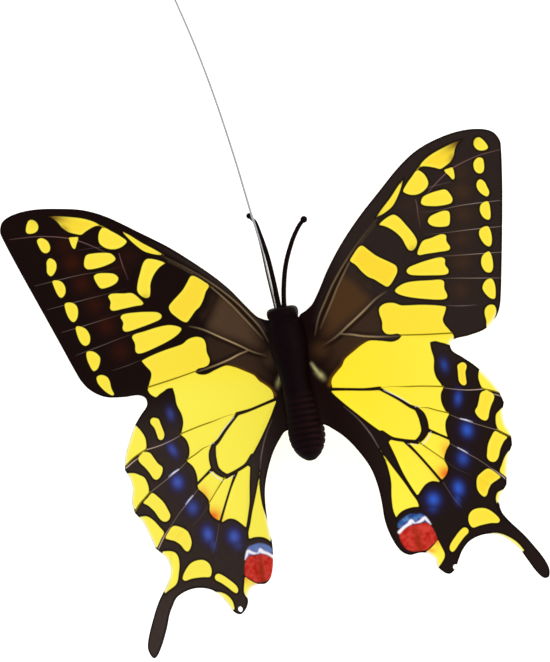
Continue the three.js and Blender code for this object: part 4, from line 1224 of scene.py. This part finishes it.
def make_antenna(side, material):
    """A tapered stem that swells into a little ball."""
    path = route(ANTENNA_ROUTES[side], 0.3)
    reach = np.concatenate([[0], np.cumsum(np.linalg.norm(np.diff(path, axis=0), axis=1))])
    left = reach[-1] - reach
    base, middle, tip = ANTENNA_RADII[side]
    radii = np.interp(reach / reach[-1], (0, 0.08, 0.6, 1), (1.25 * base, base, middle, tip))
    heading = (path[-1] - path[-2]) / np.linalg.norm(path[-1] - path[-2])
    ball = np.linspace(-1, 1, 23)[1:]
    ball_radius = ANTENNA_BALL_RADIUS[side]
    stem = left > ball_radius
    path = np.vstack([path[stem], path[-1] + np.outer(ball, heading * ball_radius)])
    round_part = ball_radius * np.sqrt(np.maximum(1 - ball**2, 1e-4))
    radii = np.concatenate([radii[stem], np.maximum(round_part, np.where(ball < 0, tip, 0))])
    points, faces = tube(path, radii)
    make_piece("antenna_" + side + "_skin", points, faces, material,
               ["antenna_" + side])


def make_wire(material):
    """The wire rises ahead of the head and ends in an open round eye."""
    rise = list(WIRE_ROUTE)
    (_, near_y, near_z), (_, end_y, end_z) = rise[-2:]
    heading = math.atan2(end_z - near_z, end_y - near_y)
    for swept in np.radians(np.arange(WIRE_LOOP_STEP, WIRE_LOOP_TURN + 1, WIRE_LOOP_STEP)):
        y = end_y + WIRE_LOOP_RADIUS * (math.sin(heading + swept) - math.sin(heading))
        z = end_z - WIRE_LOOP_RADIUS * (math.cos(heading + swept) - math.cos(heading))
        rise.append((0, y, z))
    path = route(rise, WIRE_STEP)
    radii = WIRE_RADIUS * (1 + 0.35 * fade(26 - path[:, 1], 5))
    radii[0] = radii[-1] = 0.8 * WIRE_RADIUS
    points, faces = tube(path, radii, WIRE_SIDES)
    piece = make_piece("wire_skin", points, faces, material, ["spring_wire"])
    skin = points[:-2]
    away = (skin - np.repeat(path, WIRE_SIDES, axis=0)) / np.repeat(radii, WIRE_SIDES)[:, None]
    # painted dark reflection along the wire's upper left side, near the head
    upper_left = 0.38 * away[:, 2] - 0.92 * away[:, 0]
    painted_dark_reflection = np.clip(1 + 2 * upper_left, 0, 1) * fade(WIRE_DARK_REFLECTION_END_Y - skin[:, 1], 2.5)
    set_attribute(piece.data, "painted_dark_reflection", np.append(painted_dark_reflection, [0, 0]))


# ------------------------------------------------------------------ stand

BASE_RADIUS = 12.5
BASE_THICKNESS = 4.0
BASE_EDGE_ROUND = 0.8
BASE_FOOT_ROUND = 0.4
BASE_SIDES = 160
GROOVE_INSET = 1.6
GROOVE_DEPTH = 0.35
ROD_RADIUS = 1.5
ROD_Y = 3.0
ROD_SIDES = 64
COLLAR_WIDTH = 1.1
COLLAR_FOOT = 0.3  # its straight part above the base


def quarter(centre, radius, start, end, steps=8):
    """Points of an arc, as (radius, z), for a turned profile."""
    angles = np.radians(np.linspace(start, end, steps + 1))
    return [(centre[0] + radius * math.cos(a), centre[1] + radius * math.sin(a)) for a in angles]


def make_stand(material):
    """A round base with a groove near its edge, and a rod between two collars."""
    floor = -AXIS_HEIGHT
    top = floor + BASE_THICKNESS
    edge = BASE_RADIUS - BASE_EDGE_ROUND
    base = [(edge - 0.6, floor), (edge, floor)]
    foot = (BASE_RADIUS - BASE_FOOT_ROUND, floor + BASE_FOOT_ROUND)
    base += quarter(foot, BASE_FOOT_ROUND, -90, 0)
    base += quarter((edge, top - BASE_EDGE_ROUND), BASE_EDGE_ROUND, 0, 90)
    groove = edge - GROOVE_INSET
    for out, down in ((0.45, 0), (0.35, 0.12), (0, GROOVE_DEPTH), (-0.35, 0.12), (-0.45, 0)):
        base.append((groove + out, top - down))
    base.append((2.5, top))
    points, faces = turned(base, BASE_SIDES)
    make_piece("stand_base_skin", points, faces, material, ["stand_base"])

    under = BELLY_FLAT_Z + 0.05
    collar = ROD_RADIUS + COLLAR_WIDTH
    rod = [(collar, top - 0.02), (collar, top + COLLAR_FOOT)]
    rod += quarter((collar, top + COLLAR_FOOT + COLLAR_WIDTH), COLLAR_WIDTH, 270, 180)
    rod.append((ROD_RADIUS, top + 2.2))
    for out, down in ((-0.15, 2), (-0.15, 1.2), (0.2, 0.8), (0.35, 0.4), (0.35, 0)):
        rod.append((ROD_RADIUS + out, under - down))
    points, faces = turned(rod, ROD_SIDES, (0.0, ROD_Y))
    make_piece("stand_rod_skin", points, faces, material, ["stand_rod"])


# ------------------------------------------------------------------ floor, light and camera

FLOOR_SIZE = 6.0  # metres, as all lengths of the studio are
FLOOR_TONE = 0.75
FLOOR_GLOW = 0.68
LAMP_DISTANCE = 0.8
LAMP_SIZE = 0.35
LAMP_POWER = 2.4
LAMP_RIGHT = 0.5  # of the camera, for each length towards it
LAMP_UP = 0.15
SKY_STRENGTH = 0.8


def make_floor():
    """A large white floor that glows, so that only soft shade shows on it."""
    mesh = bpy.data.meshes.new("floor")
    half = FLOOR_SIZE / 2
    corners = [(-half, -half, 0), (half, -half, 0), (half, half, 0), (-half, half, 0)]
    mesh.from_pydata(corners, [], [(0, 1, 2, 3)])
    m = Shading("floor", Base_Color=(FLOOR_TONE, FLOOR_TONE, FLOOR_TONE, 1.0), Roughness=1.0,
                Specular_IOR_Level=0.0, Emission_Color=WHITE, Emission_Strength=FLOOR_GLOW)
    mesh.materials.append(m.material)
    floor = bpy.data.objects.new("floor", mesh)
    bpy.context.scene.collection.objects.link(floor)


def camera_axes():
    """The view's own right, up and back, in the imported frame."""
    across = Vector((math.cos(CAMERA_SIDE), 0, -math.sin(CAMERA_SIDE)))
    along = Vector((
        math.sin(CAMERA_TIP) * math.sin(CAMERA_SIDE),
        math.cos(CAMERA_TIP),
        math.sin(CAMERA_TIP) * math.cos(CAMERA_SIDE),
    ))
    right = across * math.cos(CAMERA_ROLL) - along * math.sin(CAMERA_ROLL)
    up = along * math.cos(CAMERA_ROLL) + across * math.sin(CAMERA_ROLL)
    return right, up, right.cross(up)


def make_camera():
    """A long lens far away, aimed so that the view is centred on VIEW_CENTRE."""
    right, up, back = camera_axes()
    target = Vector((0, 0, AXIS_HEIGHT)) + right * VIEW_CENTRE[0] + up * VIEW_CENTRE[1]
    data = bpy.data.cameras.new("camera")
    data.sensor_width = SENSOR
    data.lens = SENSOR * CAMERA_DISTANCE / PICTURE_HEIGHT
    data.clip_start, data.clip_end = 1.0, 20.0
    camera = bpy.data.objects.new("camera", data)
    turn = Matrix((right, up, back)).transposed()
    camera.matrix_world = Matrix.Translation((target + back * CAMERA_DISTANCE) * MM) @ turn.to_4x4()
    bpy.context.scene.collection.objects.link(camera)
    bpy.context.scene.camera = camera


def make_room():
    """A white room around everything, shown in plain colours."""
    scene = bpy.context.scene
    scene.world = bpy.data.worlds.new("studio")
    scene.world.use_nodes = True
    background = scene.world.node_tree.nodes["Background"]
    background.inputs["Color"].default_value = WHITE
    background.inputs["Strength"].default_value = SKY_STRENGTH
    scene.view_settings.view_transform = "Standard"
    scene.view_settings.look = "None"


def make_lamp():
    """A square soft lamp beside the camera, which faces the butterfly."""
    right, up, back = camera_axes()
    towards = (back + right * LAMP_RIGHT + up * LAMP_UP).normalized()
    data = bpy.data.lights.new("key", "AREA")
    data.size = LAMP_SIZE
    data.energy = LAMP_POWER
    lamp = bpy.data.objects.new("key", data)
    lamp.location = Vector((0, 0, AXIS_HEIGHT * MM)) + towards * LAMP_DISTANCE
    lamp.rotation_mode = "QUATERNION"
    lamp.rotation_quaternion = towards.to_track_quat("Z", "Y")
    bpy.context.scene.collection.objects.link(lamp)


make_camera()
make_room()
make_lamp()
make_floor()
film = printed_film()
black = black_plastic()
eyes = eye_plastic()
make_wing(-1, "film_left", "wing_left", film)
make_wing(1, "film_right", "wing_right", film)
make_body(black)
make_eye(-1, "eye_left_skin", "eye_left", eyes)
make_eye(1, "eye_right_skin", "eye_right", eyes)
make_antenna("left", black)
make_antenna("right", black)
make_wire(spring_steel())
make_stand(stand_plastic())
